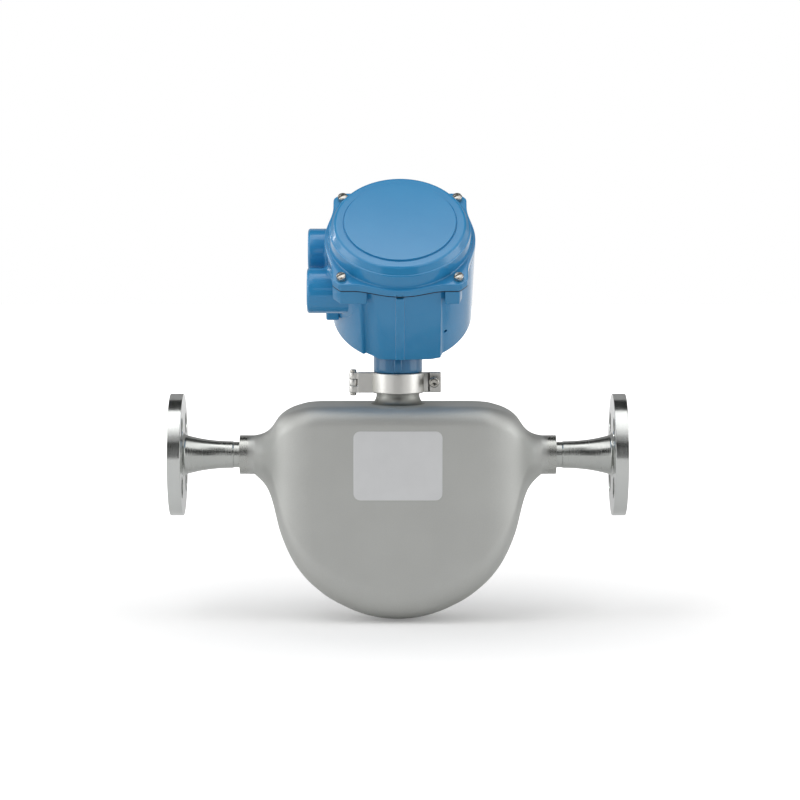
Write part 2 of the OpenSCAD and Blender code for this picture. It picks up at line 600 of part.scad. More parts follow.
inlet_flange();
outlet_flange();
inlet_hub();
outlet_hub();
inlet_manifold();
outlet_manifold();
case_front_shell();
case_rear_shell();
case_label();
neck_stub();
flow_tube_front();
flow_tube_rear();
inlet_brace_bar();
outlet_brace_bar();
manifold_spacer();
drive_coil();
drive_magnet();
drive_brackets();
inlet_pickoff_coil();
inlet_pickoff_magnet();
outlet_pickoff_coil();
outlet_pickoff_magnet();
pickoff_brackets();
temperature_sensor();
feedthrough();
feedthrough_pins();
sensor_cable();
neck_seal();
clamp_rear_half();
clamp_hinge_pin();
clamp_front_half();
clamp_screw();
head_housing();
head_neck();
cover_gasket();
electronics_module();
terminal_board();
power_terminals();
signal_terminals();
terminal_screws();
module_screws();
ground_screw();
head_cover();
cover_screws();
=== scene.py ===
"""Coriolis flow meter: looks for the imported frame. Sizes here are millimetres until a mesh is made."""
import json
import math

import bmesh
import bpy
import numpy as np
from mathutils import Matrix, Vector


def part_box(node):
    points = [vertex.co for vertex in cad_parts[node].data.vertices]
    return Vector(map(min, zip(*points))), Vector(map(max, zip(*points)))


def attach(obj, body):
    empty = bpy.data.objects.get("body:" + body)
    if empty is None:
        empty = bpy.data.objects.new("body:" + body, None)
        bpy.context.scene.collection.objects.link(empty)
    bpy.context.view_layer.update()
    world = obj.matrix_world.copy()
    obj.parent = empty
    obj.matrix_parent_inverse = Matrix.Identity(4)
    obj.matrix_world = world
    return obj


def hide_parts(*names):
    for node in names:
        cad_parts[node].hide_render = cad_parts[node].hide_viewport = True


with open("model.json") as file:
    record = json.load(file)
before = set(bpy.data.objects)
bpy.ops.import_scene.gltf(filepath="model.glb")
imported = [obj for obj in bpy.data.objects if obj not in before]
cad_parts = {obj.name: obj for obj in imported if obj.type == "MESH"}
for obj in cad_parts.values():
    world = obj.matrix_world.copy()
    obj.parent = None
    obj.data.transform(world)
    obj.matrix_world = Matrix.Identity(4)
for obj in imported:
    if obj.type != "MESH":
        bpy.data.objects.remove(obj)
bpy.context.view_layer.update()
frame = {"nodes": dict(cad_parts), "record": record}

# ---------------------------------------------------------------- places
case_lo, case_hi = (np.array(c) * 1000 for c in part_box("case_front_shell"))
MID = (case_lo[0] + case_hi[0]) / 2
TILT = math.radians(40.9)
HEAD_X, HEAD_Y, HEAD_Z = 1.5, 23.8, 153.5  # the centre of the head's seam
CASE_TOP, CLAMP_Z, CLAMP_H = 37.5, 45.6, 14.7
TAU = 2 * math.pi


def at_mid(p):
    """Points measured from mid-length, moved to the frame."""
    return np.asarray(p) + [MID, 0, 0]


def at_head(p):
    """Points measured from the seam's centre, leaned to the front and moved to the frame."""
    p = np.asarray(p)
    c, s = math.cos(TILT), math.sin(TILT)
    return np.stack([p[..., 0] + MID + HEAD_X, p[..., 1] * c - p[..., 2] * s - HEAD_Y,
                     p[..., 1] * s + p[..., 2] * c + HEAD_Z], -1)


# ---------------------------------------------------------------- camera
SHOT_DISTANCE, SHOT_RISE = 2300.0, math.radians(5.0)
aim = np.array([MID + 1.5, 0, 40.0])
eye = aim + SHOT_DISTANCE * np.array([0, -math.cos(SHOT_RISE), math.sin(SHOT_RISE)])
camera = bpy.data.objects.new("camera", bpy.data.cameras.new("camera"))
camera.data.lens, camera.data.sensor_width = 142.0, 36
camera.data.clip_start, camera.data.clip_end = 0.05, 30
look = Vector(aim - eye).to_track_quat("-Z", "Y").to_matrix().to_4x4()
camera.matrix_world = Matrix.Translation(Vector(eye * 0.001)) @ look
bpy.context.scene.collection.objects.link(camera)
bpy.context.scene.camera = camera
bpy.context.scene.view_settings.view_transform = "Standard"


# ---------------------------------------------------------------- shapes
def filleted(points, radii, steps, closed=False):
    """A polyline whose corners become arcs of the given radii, each arc turned from one tangent point to the
    next about the centre on the corner's bisector."""
    p = np.asarray(points, float)
    out = []
    for i, r in enumerate(radii):
        at_end = i in (0, len(p) - 1) and not closed
        if r <= 0 or at_end:
            out.append(p[i][None])
            continue
        a, b = p[i - 1] - p[i], p[(i + 1) % len(p)] - p[i]
        a, b = a / np.linalg.norm(a), b / np.linalg.norm(b)
        half = math.acos(np.clip(a @ b, -1, 1)) / 2
        centre = p[i] + (a + b) / np.linalg.norm(a + b) * r / math.sin(half)
        start, end = (p[i] + v * r / math.tan(half) - centre for v in (a, b))
        sweep = math.acos(np.clip(start @ end / r**2, -1, 1))
        t = np.linspace(0, 1, steps + 1)[:, None]
        out.append(centre + (np.sin((1 - t) * sweep) * start + np.sin(t * sweep) * end) / math.sin(sweep))
    return np.vstack(out)


def eased(profile, near=0.25, closed=False):
    """The same line with a point close to both ends of each long straight run, so shading stays flat between."""
    p = np.vstack([profile, profile[:1]]) if closed else np.asarray(profile)
    out = []
    for a, b in zip(p[:-1], p[1:]):
        run = np.linalg.norm(b[:2] - a[:2])
        out += [a] if run < 4 * near else [a, a + (b - a) * near / run, b - (b - a) * near / run]
    return np.array(out if closed else out + [p[-1]])


def smooth(t):
    """0 to 1 with level ends."""
    t = np.clip(t, 0, 1)
    return t * t * (3 - 2 * t)


def steady(x, knots, values):
    """Curve through the knots that never overshoots: cubic pieces whose slopes are the harmonic mean of the
    neighbouring slopes."""
    k, v = np.asarray(knots, float), np.asarray(values, float)
    h, d = np.diff(k), np.diff(v) / np.diff(k)
    m = np.zeros_like(v)
    same = d[1:] * d[:-1] > 0
    w1, w2 = 2 * h[1:] + h[:-1], h[1:] + 2 * h[:-1]
    with np.errstate(divide="ignore", invalid="ignore"):
        inner = (w1 + w2) / (w1 / d[:-1] + w2 / d[1:])
    m[1:-1] = np.where(same, inner, 0)
    x = np.clip(x, k[0], k[-1])
    i = np.clip(np.searchsorted(k, x, side="right") - 1, 0, len(h) - 1)
    t = (x - k[i]) / h[i]
    return ((1 + 2 * t) * (1 - t) ** 2 * v[i] + t * (1 - t) ** 2 * h[i] * m[i]
            + t * t * (3 - 2 * t) * v[i + 1] + t * t * (t - 1) * h[i] * m[i + 1])


def polar(r, a, z):
    """Points at radius r, angle a and height z: (r cos a, r sin a, z)."""
    r, a, z = np.broadcast_arrays(r, a, z)
    return np.stack([r * np.cos(a), r * np.sin(a), z], -1)


def joined(column, *runs):
    """Runs of two coordinates set side by side, each repeated for every row of the column."""
    wide = [np.broadcast_arrays(u, v, column)[:2] for u, v in runs]
    return [np.concatenate(run, 1) for run in zip(*wide)]


def turned(profile, steps, start=0.0, sweep=TAU):
    """Grid of a profile (radius, height) turned about Z."""
    profile = np.asarray(profile)
    a = start + np.linspace(0, sweep, steps, endpoint=sweep < TAU - 1e-9)[:, None]
    return polar(profile[:, 0], a, profile[:, 1])


def lie_along_x(p):
    """Turns Z to X, keeping right-handed: (x, y, z) becomes (z, x, y)."""
    return np.stack([p[..., 2], p[..., 0], p[..., 1]], -1)


def lie_along_front(p):
    """Turns Z to the front (-Y): (x, y, z) becomes (x, -z, y)."""
    return np.stack([p[..., 0], -p[..., 2], p[..., 1]], -1)


def lie_to_left(p):
    """Turns Z to the left (-X): (x, y, z) becomes (-z, y, x)."""
    return np.stack([-p[..., 2], p[..., 1], p[..., 0]], -1)


def on_front(p):
    """Mirrors a shape from the rear side to the front: (x, y, z) becomes (x, -y, z)."""
    return p * [1, -1, 1]


def rounded_outline(w, h, r, steps):
    """Closed outline of a w by h rectangle with corners of radius r."""
    corners = np.array([[w, -h], [w, h], [-w, h], [-w, -h]]) / 2
    return filleted(corners, [r] * 4, steps, closed=True)


def inset(outline, d):
    """Closed outline moved inwards by d along the normals of its points."""
    t = np.roll(outline, -1, 0) - np.roll(outline, 1, 0)
    n = np.stack([-t[:, 1], t[:, 0]], -1)
    n /= np.maximum(np.linalg.norm(n, axis=1, keepdims=True), 1e-9)
    area = np.sum(outline[:, 0] * np.roll(outline[:, 1], -1) - np.roll(outline[:, 0], -1) * outline[:, 1])
    return outline + n * d * (1 if area > 0 else -1)


def slab(outline, z0, z1, edge, steps=3):
    """Grid of a flat plate: the outline carried from z0 to z1, drawn in at both rims by a quarter circle."""
    a = np.linspace(0, math.pi / 2, steps + 1)
    lows = [(edge * (1 - math.sin(t)), z0 + edge * (1 - math.cos(t))) for t in a]
    highs = [(edge * (1 - math.sin(t)), z1 - edge * (1 - math.cos(t))) for t in a[::-1]]
    rings = [(1.5 * edge, z0)] + lows + highs + [(1.5 * edge, z1)]
    return np.stack([np.column_stack([inset(outline, d), np.full(len(outline), z)]) for d, z in rings], 1)


# ---------------------------------------------------------------- meshes
class Sheet:
    """A grid of points P[i, j]: whether its lines close on themselves along i (u) and j (v), and across which of
    the two it gets flat caps."""

    def __init__(self, points, close_u=True, close_v=False, caps=""):
        self.points, self.close_u, self.close_v, self.caps = points, close_u, close_v, caps

    def faces(self, base):
        """Quads between neighbouring grid lines, and a flat cap over each open end; turned outwards by volume."""
        nu, nv = self.points.shape[:2]
        ids = np.arange(nu * nv).reshape(nu, nv)
        if self.close_u:
            ids = np.vstack([ids, ids[:1]])
        if self.close_v:
            ids = np.hstack([ids, ids[:, :1]])
        quads = np.stack([ids[:-1, :-1], ids[1:, :-1], ids[1:, 1:], ids[:-1, 1:]], -1).reshape(-1, 4)
        flat = self.points.reshape(-1, 3)
        mid = flat.mean(0)
        a, b, c, d = (flat[quads[:, k]] - mid for k in range(4))
        volume = np.einsum("ij,ij->i", a, np.cross(b, c)).sum() + np.einsum("ij,ij->i", a, np.cross(c, d)).sum()
        lids = []
        if self.caps == "v":
            lids = [list(range(0, nu * nv, nv))[::-1], list(range(nv - 1, nu * nv, nv))]
        if self.caps == "u":
            lids = [list(range(nv)), list(range((nu - 1) * nv, nu * nv))[::-1]]
        out = quads.tolist() + lids
        if volume < 0:
            out = [f[::-1] for f in out]
        return [[k + base for k in f] for f in out]


def mesh_of(name, sheets):
    """One mesh from its grids: points to metres, doubles merged at the poles."""
    verts, faces = [], []
    for sheet in sheets:
        faces += sheet.faces(sum(len(v) for v in verts))
        verts.append(sheet.points.reshape(-1, 3))
    mesh = bpy.data.meshes.new(name)
    mesh.from_pydata((np.vstack(verts) * 0.001).tolist(), [], faces)
    bm = bmesh.new()
    bm.from_mesh(mesh)
    bmesh.ops.remove_doubles(bm, verts=bm.verts, dist=1e-7)
    bmesh.ops.dissolve_degenerate(bm, edges=bm.edges, dist=1e-8)
    bm.to_mesh(mesh)
    bm.free()
    return mesh


def piece(name, sheets, body, material, replaces=(), crease=35):
    """One object from its grids, smooth but for corners sharper than the crease angle, with its finish, the body
    that it rides on and the nodes that it stands for."""
    obj = bpy.data.objects.new(name, mesh_of(name, sheets))
    bpy.context.scene.collection.objects.link(obj)
    obj.data.materials.append(material)
    obj.data.shade_smooth()
    obj.data.set_sharp_from_angle(angle=math.radians(crease))
    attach(obj, body)
    if replaces:
        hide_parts(*replaces)
    return obj


def drilled(obj, cutters, crease=35):
    """Takes the cutters' shapes out of a piece and keeps the result as its mesh."""
    for sheets in cutters:
        tool = bpy.data.objects.new("cutter", mesh_of("cutter", sheets))
        bpy.context.scene.collection.objects.link(tool)
        step = obj.modifiers.new("cut", "BOOLEAN")
        step.operation, step.solver, step.object = "DIFFERENCE", "EXACT", tool
        bpy.context.view_layer.update()
        cut = bpy.data.meshes.new_from_object(obj.evaluated_get(bpy.context.evaluated_depsgraph_get()))
        obj.modifiers.clear()
        cut.materials.clear()
        cut.materials.append(obj.data.materials[0])
        obj.data = cut
        bpy.data.objects.remove(tool)
    obj.data.shade_smooth()
    obj.data.set_sharp_from_angle(angle=math.radians(crease))


# ---------------------------------------------------------------- materials
COLOUR_A, COLOUR_B, MIXED = 6, 7, 2  # a Mix node's colour inputs and output, which share their names with others


def linear(code):
    """Hex sRGB to linear colour."""
    c = np.array([int(code[i:i + 2], 16) for i in (1, 3, 5)]) / 255
    return (*np.where(c <= 0.04045, c / 12.92, ((c + 0.055) / 1.055) ** 2.4), 1.0)


def add(tree, kind, feeds=(), **settings):
    """Adds one node and sets its properties and sockets by name. Each feed is an input, by name or number, and
    what it gets: another node's output, or a value."""
    node = tree.nodes.new(kind)
    for key, value in settings.items():
        if hasattr(node, key):
            setattr(node, key, value)
        else:
            node.inputs[key.replace("_", " ")].default_value = value
    for socket, source in feeds:
        if isinstance(source, bpy.types.NodeSocket):
            tree.links.new(source, node.inputs[socket])
        else:
            node.inputs[socket].default_value = source
    return node


def finish_of(name, base, metallic, roughness, **sockets):
    """A material with its Principled shader; returns the material, its tree and the shader."""
    material = bpy.data.materials.new(name)
    material.use_nodes = True
    tree = material.node_tree
    shader = tree.nodes["Principled BSDF"]
    shader.inputs["Base Color"].default_value = linear(base)
    shader.inputs["Metallic"].default_value = metallic
    shader.inputs["Roughness"].default_value = roughness
    for key, value in sockets.items():
        shader.inputs[key.replace("_", " ")].default_value = value
    material.diffuse_color = linear(base)
    return material, tree, shader


def grain(material, tree, shader, size, depth, rough, stretch=(1, 1, 1), tones=None):
    """Gives a material noise of the given size in millimetres: bump of the given depth in millimetres and a spread
    of roughness, and where asked slow shifts of colour between two hex tones, over a size of their own."""
    where = add(tree, "ShaderNodeTexCoord")
    scaled = add(tree, "ShaderNodeMapping", [("Vector", where.outputs["Object"])], Scale=stretch)
    noise = add(tree, "ShaderNodeTexNoise", [("Vector", scaled.outputs["Vector"])], Scale=1000 / size,
                Detail=2.0, Roughness=0.55)
    bump = add(tree, "ShaderNodeBump", [("Height", noise.outputs["Fac"])], Strength=1.0, Distance=depth * 0.001)
    tree.links.new(bump.outputs["Normal"], shader.inputs["Normal"])
    spread = add(tree, "ShaderNodeMapRange", [("Value", noise.outputs["Fac"])], From_Min=0.3, From_Max=0.7,
                 To_Min=rough[0], To_Max=rough[1])
    tree.links.new(spread.outputs["Result"], shader.inputs["Roughness"])
    if tones:
        large = add(tree, "ShaderNodeTexNoise", [("Vector", where.outputs["Object"])], Scale=1000 / tones[2],
                    Detail=3.0)
        mix = add(tree, "ShaderNodeMix", [("Factor", large.outputs["Fac"]), (COLOUR_A, linear(tones[0])),
                                          (COLOUR_B, linear(tones[1]))], data_type="RGBA")
        tree.links.new(mix.outputs[MIXED], shader.inputs["Base Color"])
    return material


# ---------------------------------------------------------------- finishes
# Two-coat polyurethane enamel on cast aluminium, sprayed: an even mid blue under a clear coat with a soft gloss,
# a faint orange peel of about 1.6 mm, and slow shifts of tone.
paint = grain(*finish_of("polyurethane_enamel_blue", "#2A87BC", 0.0, 0.34, Coat_Weight=1.0,
                         Coat_Roughness=0.12, Coat_IOR=1.5, Specular_IOR_Level=0.2),
              1.6, 0.012, rough=(0.30, 0.40), tones=("#2683B9", "#2E8BBF", 22))

# The same enamel on the neck, a second casting, with a thinner coat. It is drawn a shade deeper than the drum as
# painted shade, standing in for the shade under the drum.
neck_paint_painted_shade = grain(*finish_of("polyurethane_enamel_blue_painted_shade", "#1C5F8C", 0.0, 0.36, Coat_Weight=0.6,
                              Coat_Roughness=0.10, Specular_IOR_Level=0.3),
                   1.6, 0.012, rough=(0.32, 0.42), tones=("#20658F", "#276D99", 22))

# 316L stainless sheet, glass-bead blasted: dull grey, grit craters of about 0.5 mm drawn at 0.9 mm. The collars'
# last 8 mm are ground after welding: smoother and a little darker, from an uneven line with waves of 5 mm.
blasted, tree, shader = finish_of("stainless_bead_blasted", "#C8C9C6", 1.0, 0.56)
grain(blasted, tree, shader, 0.9, 0.010, rough=(0.52, 0.60), tones=("#C3C4C1", "#CDCECB", 35))
where = add(tree, "ShaderNodeTexCoord")
apart = add(tree, "ShaderNodeSeparateXYZ", [("Vector", where.outputs["Object"])])
offset = add(tree, "ShaderNodeMath", [(0, apart.outputs["X"]), (1, MID / 1000)], operation="SUBTRACT")
reach = add(tree, "ShaderNodeMath", [(0, offset.outputs[0])], operation="ABSOLUTE")
blotch = add(tree, "ShaderNodeTexNoise", [("Vector", where.outputs["Object"])], Scale=200.0, Detail=2.0)
uneven = add(tree, "ShaderNodeMath", [(0, blotch.outputs["Fac"]), (1, 0.004), (2, reach.outputs[0])],
             operation="MULTIPLY_ADD")
ground = add(tree, "ShaderNodeMapRange", [("Value", uneven.outputs[0])], From_Min=0.1075, From_Max=0.112,
             To_Max=0.75)
base, rough = (shader.inputs[name].links[0].from_socket for name in ("Base Color", "Roughness"))
mix = add(tree, "ShaderNodeMix", [("Factor", ground.outputs["Result"]), (COLOUR_A, base),
                                  (COLOUR_B, linear("#B2B3AF"))], data_type="RGBA")
polish = add(tree, "ShaderNodeMath", [(0, ground.outputs["Result"]), (1, -0.4), (2, rough)],
             operation="MULTIPLY_ADD")
tree.links.new(mix.outputs[MIXED], shader.inputs["Base Color"])
tree.links.new(polish.outputs[0], shader.inputs["Roughness"])

# 316L stainless forging, turned on a lathe: bright, with feed lines 0.25 mm apart drawn at 0.8 mm.
turned_steel = grain(*finish_of("stainless_turned", "#D3D5D3", 1.0, 0.18),
                     0.8, 0.0006, stretch=(1, 0.04, 0.04), rough=(0.15, 0.22), tones=("#CFD1CF", "#D8DAD8", 30))

# The same forging where it is turned along its cone: finer feed, duller.
satin_turned = grain(*finish_of("stainless_turned_satin", "#BFC1BE", 1.0, 0.25),
                     0.8, 0.0006, stretch=(1, 0.04, 0.04), rough=(0.21, 0.28), tones=("#BABCB9", "#C4C6C3", 30))

# Stainless strip, tumbled: satin, with no clear lay.
satin = grain(*finish_of("stainless_satin", "#DCDBD7", 1.0, 0.36),
              0.7, 0.006, rough=(0.32, 0.42), tones=("#D7D6D2", "#E1E0DC", 12))

# Machined 304 stainless, brushed round: darker than the strip, with fine lines.
machined = grain(*finish_of("stainless_machined", "#8E8F8B", 1.0, 0.42),
                 0.6, 0.006, stretch=(0.05, 0.05, 1), rough=(0.38, 0.48), tones=("#888985", "#949591", 14))

# Anodised aluminium plate, brushed upright: pale, with lines 0.3 mm apart drawn at 0.7 mm.
plate = grain(*finish_of("aluminium_brushed_anodised", "#E2E3E4", 0.75, 0.38),
              0.7, 0.004, stretch=(1, 1, 0.02), rough=(0.32, 0.44), tones=("#DDDEDF", "#E7E8E9", 18))

# A2 stainless screws, cold-headed and barrel polished.
bright = grain(*finish_of("stainless_cold_headed", "#B9B7B1", 1.0, 0.24), 0.5, 0.004, rough=(0.20, 0.30))

# Nitrile rubber, moulded: matt black.
nitrile = grain(*finish_of("nitrile_moulded", "#17181A", 0.0, 0.62), 0.8, 0.01, rough=(0.55, 0.7))

# Drawn stainless tube, bright annealed: mirror-like, with a faint pebble of 0.8 mm.
annealed = grain(*finish_of("stainless_bright_annealed", "#C2C2BE", 1.0, 0.24), 0.8, 0.003, rough=(0.2, 0.3))

# Epoxy potting: near black, lightly pitted.
epoxy = grain(*finish_of("epoxy_potting", "#1D1E21", 0.0, 0.42), 2.0, 0.02, rough=(0.36, 0.5))

# Glass-epoxy board under green solder resist: deep green and glossy, rippled by the weave of 1.2 mm.
resist = grain(*finish_of("solder_resist_green", "#1E5B38", 0.0, 0.3, Coat_Weight=0.3), 1.2, 0.004, rough=(0.25, 0.36))

# Polyamide terminal blocks, moulded: dark grey, half matt.
polyamide = grain(*finish_of("polyamide_moulded", "#2A2C2F", 0.0, 0.5), 0.9, 0.008, rough=(0.45, 0.56))

# Brass, nickel plated in a barrel: warm grey and bright.
nickel = grain(*finish_of("brass_nickel_plated", "#CFC4A6", 1.0, 0.25), 0.6, 0.003, rough=(0.2, 0.32))

# Enamelled copper winding: fine coils 0.4 mm apart.
winding = grain(*finish_of("copper_enamelled", "#8A4A22", 0.6, 0.35),
                0.4, 0.05, stretch=(0.1, 1, 0.1), rough=(0.3, 0.4))

# Steel, zinc plated and passivated green: a metallic green, half bright.
passivated = grain(*finish_of("steel_passivated_green", "#4E7B45", 0.8, 0.35), 0.8, 0.004, rough=(0.3, 0.42))

# Sintered magnet, nickel plated: mid grey and bright.
magnet = grain(*finish_of("magnet_nickel_plated", "#8E8F90", 1.0, 0.3), 0.8, 0.004, rough=(0.26, 0.36))

# Polyvinyl chloride cable jacket, extruded: near black with a soft sheen.
jacket = grain(*finish_of("vinyl_jacket", "#202123", 0.0, 0.48), 1.0, 0.006, rough=(0.42, 0.54))

BY_SLOT = {"flange_steel": turned_steel, "manifold_steel": satin_turned, "case_steel": blasted,
           "label_plate": plate, "stub_steel": machined, "tube_steel": annealed, "coil_winding": winding,
           "magnet_iron": magnet, "contact_brass": nickel, "potting": epoxy, "cable_jacket": jacket,
           "seal_rubber": nitrile, "clamp_steel": satin, "screw_steel": bright, "head_paint": paint,
           "board": resist, "terminal_plastic": polyamide, "ground_green": passivated}
for part in frame["record"]["subparts"]:
    for material_slot in frame["nodes"][part["node"]].material_slots:
        material_slot.material = BY_SLOT[part["material_slot"]]


# ---------------------------------------------------------------- process connections
DISC_R, RAISED_R, RAISED_H, DISC_END = 44.45, 17.45, 1.6, 11.2
HUB_R, HUB_SWELL, HUB_FILLET, HUB_LEN, BORE, BOLT_CIRCLE_R = 9.8, 5.1, 1.6, 47.8, 7.9, 30.15


def hub_curve(s):
    """Hub radius: from the disc's fillet down to the weld end, falling as the 2.2nd power of what is left."""
    t = np.clip((s - DISC_END) / (HUB_LEN - DISC_END), 0, 1)
    fillet = HUB_FILLET * np.clip(1 - (s - DISC_END) / HUB_FILLET, 0, 1) ** 2
    return HUB_R + HUB_SWELL * (1 - t) ** 2.2 + fillet


def flange_disc():
    """Disc with its raised face: a stepped section (radius, length) with rounded corners, turned."""
    disc = filleted([[BORE, 0], [RAISED_R, 0], [RAISED_R, RAISED_H], [DISC_R, RAISED_H], [DISC_R, DISC_END],
                     [BORE, DISC_END]], [0.3, 0.25, 0.3, 0.35, 0.35, 0.01], 4, closed=True)
    return turned(eased(disc, closed=True), 192)


def hub_cone():
    """Neck of the flange: the hub curve, the bevelled weld end and the bore, turned."""
    s = np.linspace(DISC_END, HUB_LEN - 1.2, 60)
    outer = np.column_stack([hub_curve(s), s])
    tip = filleted([[HUB_R, HUB_LEN - 1.0], [HUB_R - 0.4, HUB_LEN], [BORE, HUB_LEN], [BORE, DISC_END]],
                   [0, 0.1, 0.1, 0], 3)
    return turned(eased(np.vstack([outer, tip]), 0.2, closed=True), 144)


def bolt_holes():
    """Four cylinders on the bolt circle, opened out by 0.5 mm at both faces."""
    hole = np.array([[0, -2], [8.9, -2], [8.9, 0.9], [8.45, 1.6], [7.95, 2.1], [7.95, 10.7], [8.45, 11.2],
                     [8.9, 11.9], [8.9, 14], [0, 14]])
    turns = TAU / 8 + np.arange(4) * TAU / 4
    return [lie_along_x(turned(hole, 64)) + [0, BOLT_CIRCLE_R * math.cos(a), BOLT_CIRCLE_R * math.sin(a)]
            for a in turns]


def ends(p, side):
    """Keeps an inlet piece, or turns it half a turn about mid-length for the outlet."""
    return p if side < 0 else np.stack([2 * MID - p[..., 0], -p[..., 1], p[..., 2]], -1)


for side, word in ((-1, "inlet"), (1, "outlet")):
    disc = piece(word + "_disc", [Sheet(ends(lie_along_x(flange_disc()), side), close_v=True)], "sensor",
                 turned_steel, [word + "_flange"])
    drilled(disc, [[Sheet(ends(hole, side))] for hole in bolt_holes()])
    piece(word + "_neck_cone", [Sheet(ends(lie_along_x(hub_cone()), side), close_v=True)], "sensor",
          satin_turned, [word + "_hub"])


# ---------------------------------------------------------------- stamped case
# RISE, DROP and WIDE pair a distance from mid-length with the share that the case has there of what its height,
# depth and width are more than the collar's. X_SCALE fits these distances to the case's length.
COLLAR_R, COLLAR_END, CASE_W, CASE_DEPTH, EDGE_R, WALL = 14.2, 115.2, 36.0, 119.2, 26.0, 2.0
X_SCALE = (COLLAR_END - 10.3) / 103
RISE = np.array([[0, 1], [50, 1], [56, .995], [63.2, .972], [70.7, .9], [75, .84], [78.3, .776], [82, .68],
                 [85.8, .53], [88.4, .37], [90.8, .225], [94, .11], [97.5, .045], [101, .012], [103.1, 0],
                 [140, 0]])
DROP = np.array([[0, 1], [9, .995], [17.6, .982], [24, .966], [30.2, .945], [40, .902], [49, .854],
                 [57, .796], [64, .735], [69.3, .677], [74, .614], [77.3, .558], [80.3, .498], [83, .435],
                 [85.3, .369], [87.3, .292], [89.1, .22], [91, .158], [92.9, .112], [95.4, .072], [98, .043],
                 [101, .016], [103.1, 0], [140, 0]])
WIDE = np.array([[0, 1], [60, 1], [64, .99], [68, .965], [72, .925], [76, .865], [80, .78], [84, .66], [88, .5],
                 [91, .365], [94, .235], [97, .12], [100, .04], [103.1, 0], [140, 0]])


def case_section(x, wall):
    """Half a section at each station x: the top line, a round edge of the collar's radius, the side, and a
    round edge below, drawn in by the wall. Axes: station, point, (y, z)."""
    far = (np.abs(x) + (1.7 if wall else 0)) / X_SCALE
    top = COLLAR_R + (CASE_TOP - COLLAR_R) * steady(far, *RISE.T) - wall
    low = COLLAR_R + (CASE_DEPTH - COLLAR_R) * steady(far, *DROP.T) - wall
    wide = COLLAR_R + (CASE_W - COLLAR_R) * steady(far, *WIDE.T) - wall
    rt = np.full_like(x, COLLAR_R - wall - 0.02)
    rb = np.minimum(np.minimum(wide, low), EDGE_R - wall) - 0.02
    a = np.linspace(math.pi / 2, 0, 22)[None, :]
    upper = np.stack([(wide - rt)[:, None] + rt[:, None] * np.cos(a),
                      (top - rt)[:, None] + rt[:, None] * np.sin(a)], -1)
    lower = np.stack([(wide - rb)[:, None] + rb[:, None] * np.cos(a[:, ::-1]),
                      (rb - low)[:, None] - rb[:, None] * np.sin(a[:, ::-1])], -1)
    t = np.linspace(0, 1, 6)[None, :-1, None]
    start = np.stack([0 * x, top], -1)[:, None]
    end = np.stack([0 * x, -low], -1)[:, None]
    flat_top = start + (upper[:, :1] - start) * t
    side = upper[:, -1:] + (lower[:, :1] - upper[:, -1:]) * np.linspace(0, 1, 20)[None, 1:-1, None]
    flat_low = lower[:, -1:] + (end - lower[:, -1:]) * np.linspace(0, 1, 6)[None, 1:, None]
    return np.concatenate([flat_top, upper, side, lower, flat_low], 1)


def case_half(side):
    """The case half as a closed loop of section points, outside and back along the inside, carried end to end."""
    inner = np.concatenate([np.linspace(0, 53, 30), np.linspace(53, 106, 100)[1:]])
    x = np.concatenate([[-COLLAR_END], [-COLLAR_END + 0.25], -inner[::-1], inner[1:], [COLLAR_END - 0.25],
                        [COLLAR_END]])
    loop = np.concatenate([case_section(x, 0), case_section(x, WALL)[:, ::-1]], 1)
    p = np.stack([np.broadcast_to(x[:, None], loop.shape[:2]), side * loop[..., 0], loop[..., 1]], -1)
    return at_mid(p)


for side, word in ((-1, "front"), (1, "rear")):
    piece("case_" + word + "_skin", [Sheet(case_half(side), close_u=False, close_v=True, caps="u")], "sensor",
          blasted, ["case_" + word + "_shell"], crease=50)

PLATE_W, PLATE_H, PLATE_T, PLATE_Z = 64, 50, 0.5, -4.4
label = slab(rounded_outline(PLATE_W, PLATE_H, 5, 10), 0, PLATE_T, 0.12)
piece("front_plate", [Sheet(at_mid(lie_along_front(label) + [0, -CASE_W, PLATE_Z]), caps="v")], "sensor",
      plate, ["case_label"])


# ---------------------------------------------------------------- stub and clamp
WIRE_R, FOOT_R, GROOVE_R, RIDGE_R = 9.5, 21.2, 15.4, 16.8  # the wire passage, the stub's foot, groove and ridge


def stub_profile():
    """Foot, concave flare and groove of the case's stub, then back down the wire passage."""
    t = np.linspace(0, 1, 24)
    flare = np.column_stack([FOOT_R - 5.6 * np.sqrt(1 - (1 - t) ** 2),
                             CASE_TOP - 0.3 + (CLAMP_Z - 0.9 - CASE_TOP) * t])
    rest = filleted([[GROOVE_R + 0.2, CLAMP_Z - 1.2], [GROOVE_R + 0.1, CLAMP_Z - 0.3], [GROOVE_R, CLAMP_Z + 2.3],
                     [RIDGE_R, CLAMP_Z + 2.5], [RIDGE_R, CLAMP_Z + 7.4], [WIRE_R, CLAMP_Z + 7.4],
                     [WIRE_R, CASE_TOP]], [0, 0.1, 0.1, 0.2, 0.3, 0.2, 0], 3)
    return eased(np.vstack([flare, rest[1:]]), closed=True)


piece("stub", [Sheet(at_mid(turned(stub_profile(), 128)), close_v=True)], "sensor", machined,
      ["neck_stub"])


LIP_R, BAND_R, CLAMP_R = 15.9, 17.1, 18.8
HINGE_X, KNUCKLE_R, SPLIT, LEAF_T, EAR_T = 32.5, 3.0, 0.5, 3.0, 4.2
CLAMP_TOP = CLAMP_Z + CLAMP_H
SCREW_X, SCREW_Z = 26.3, CLAMP_Z + CLAMP_H / 2 + 0.5


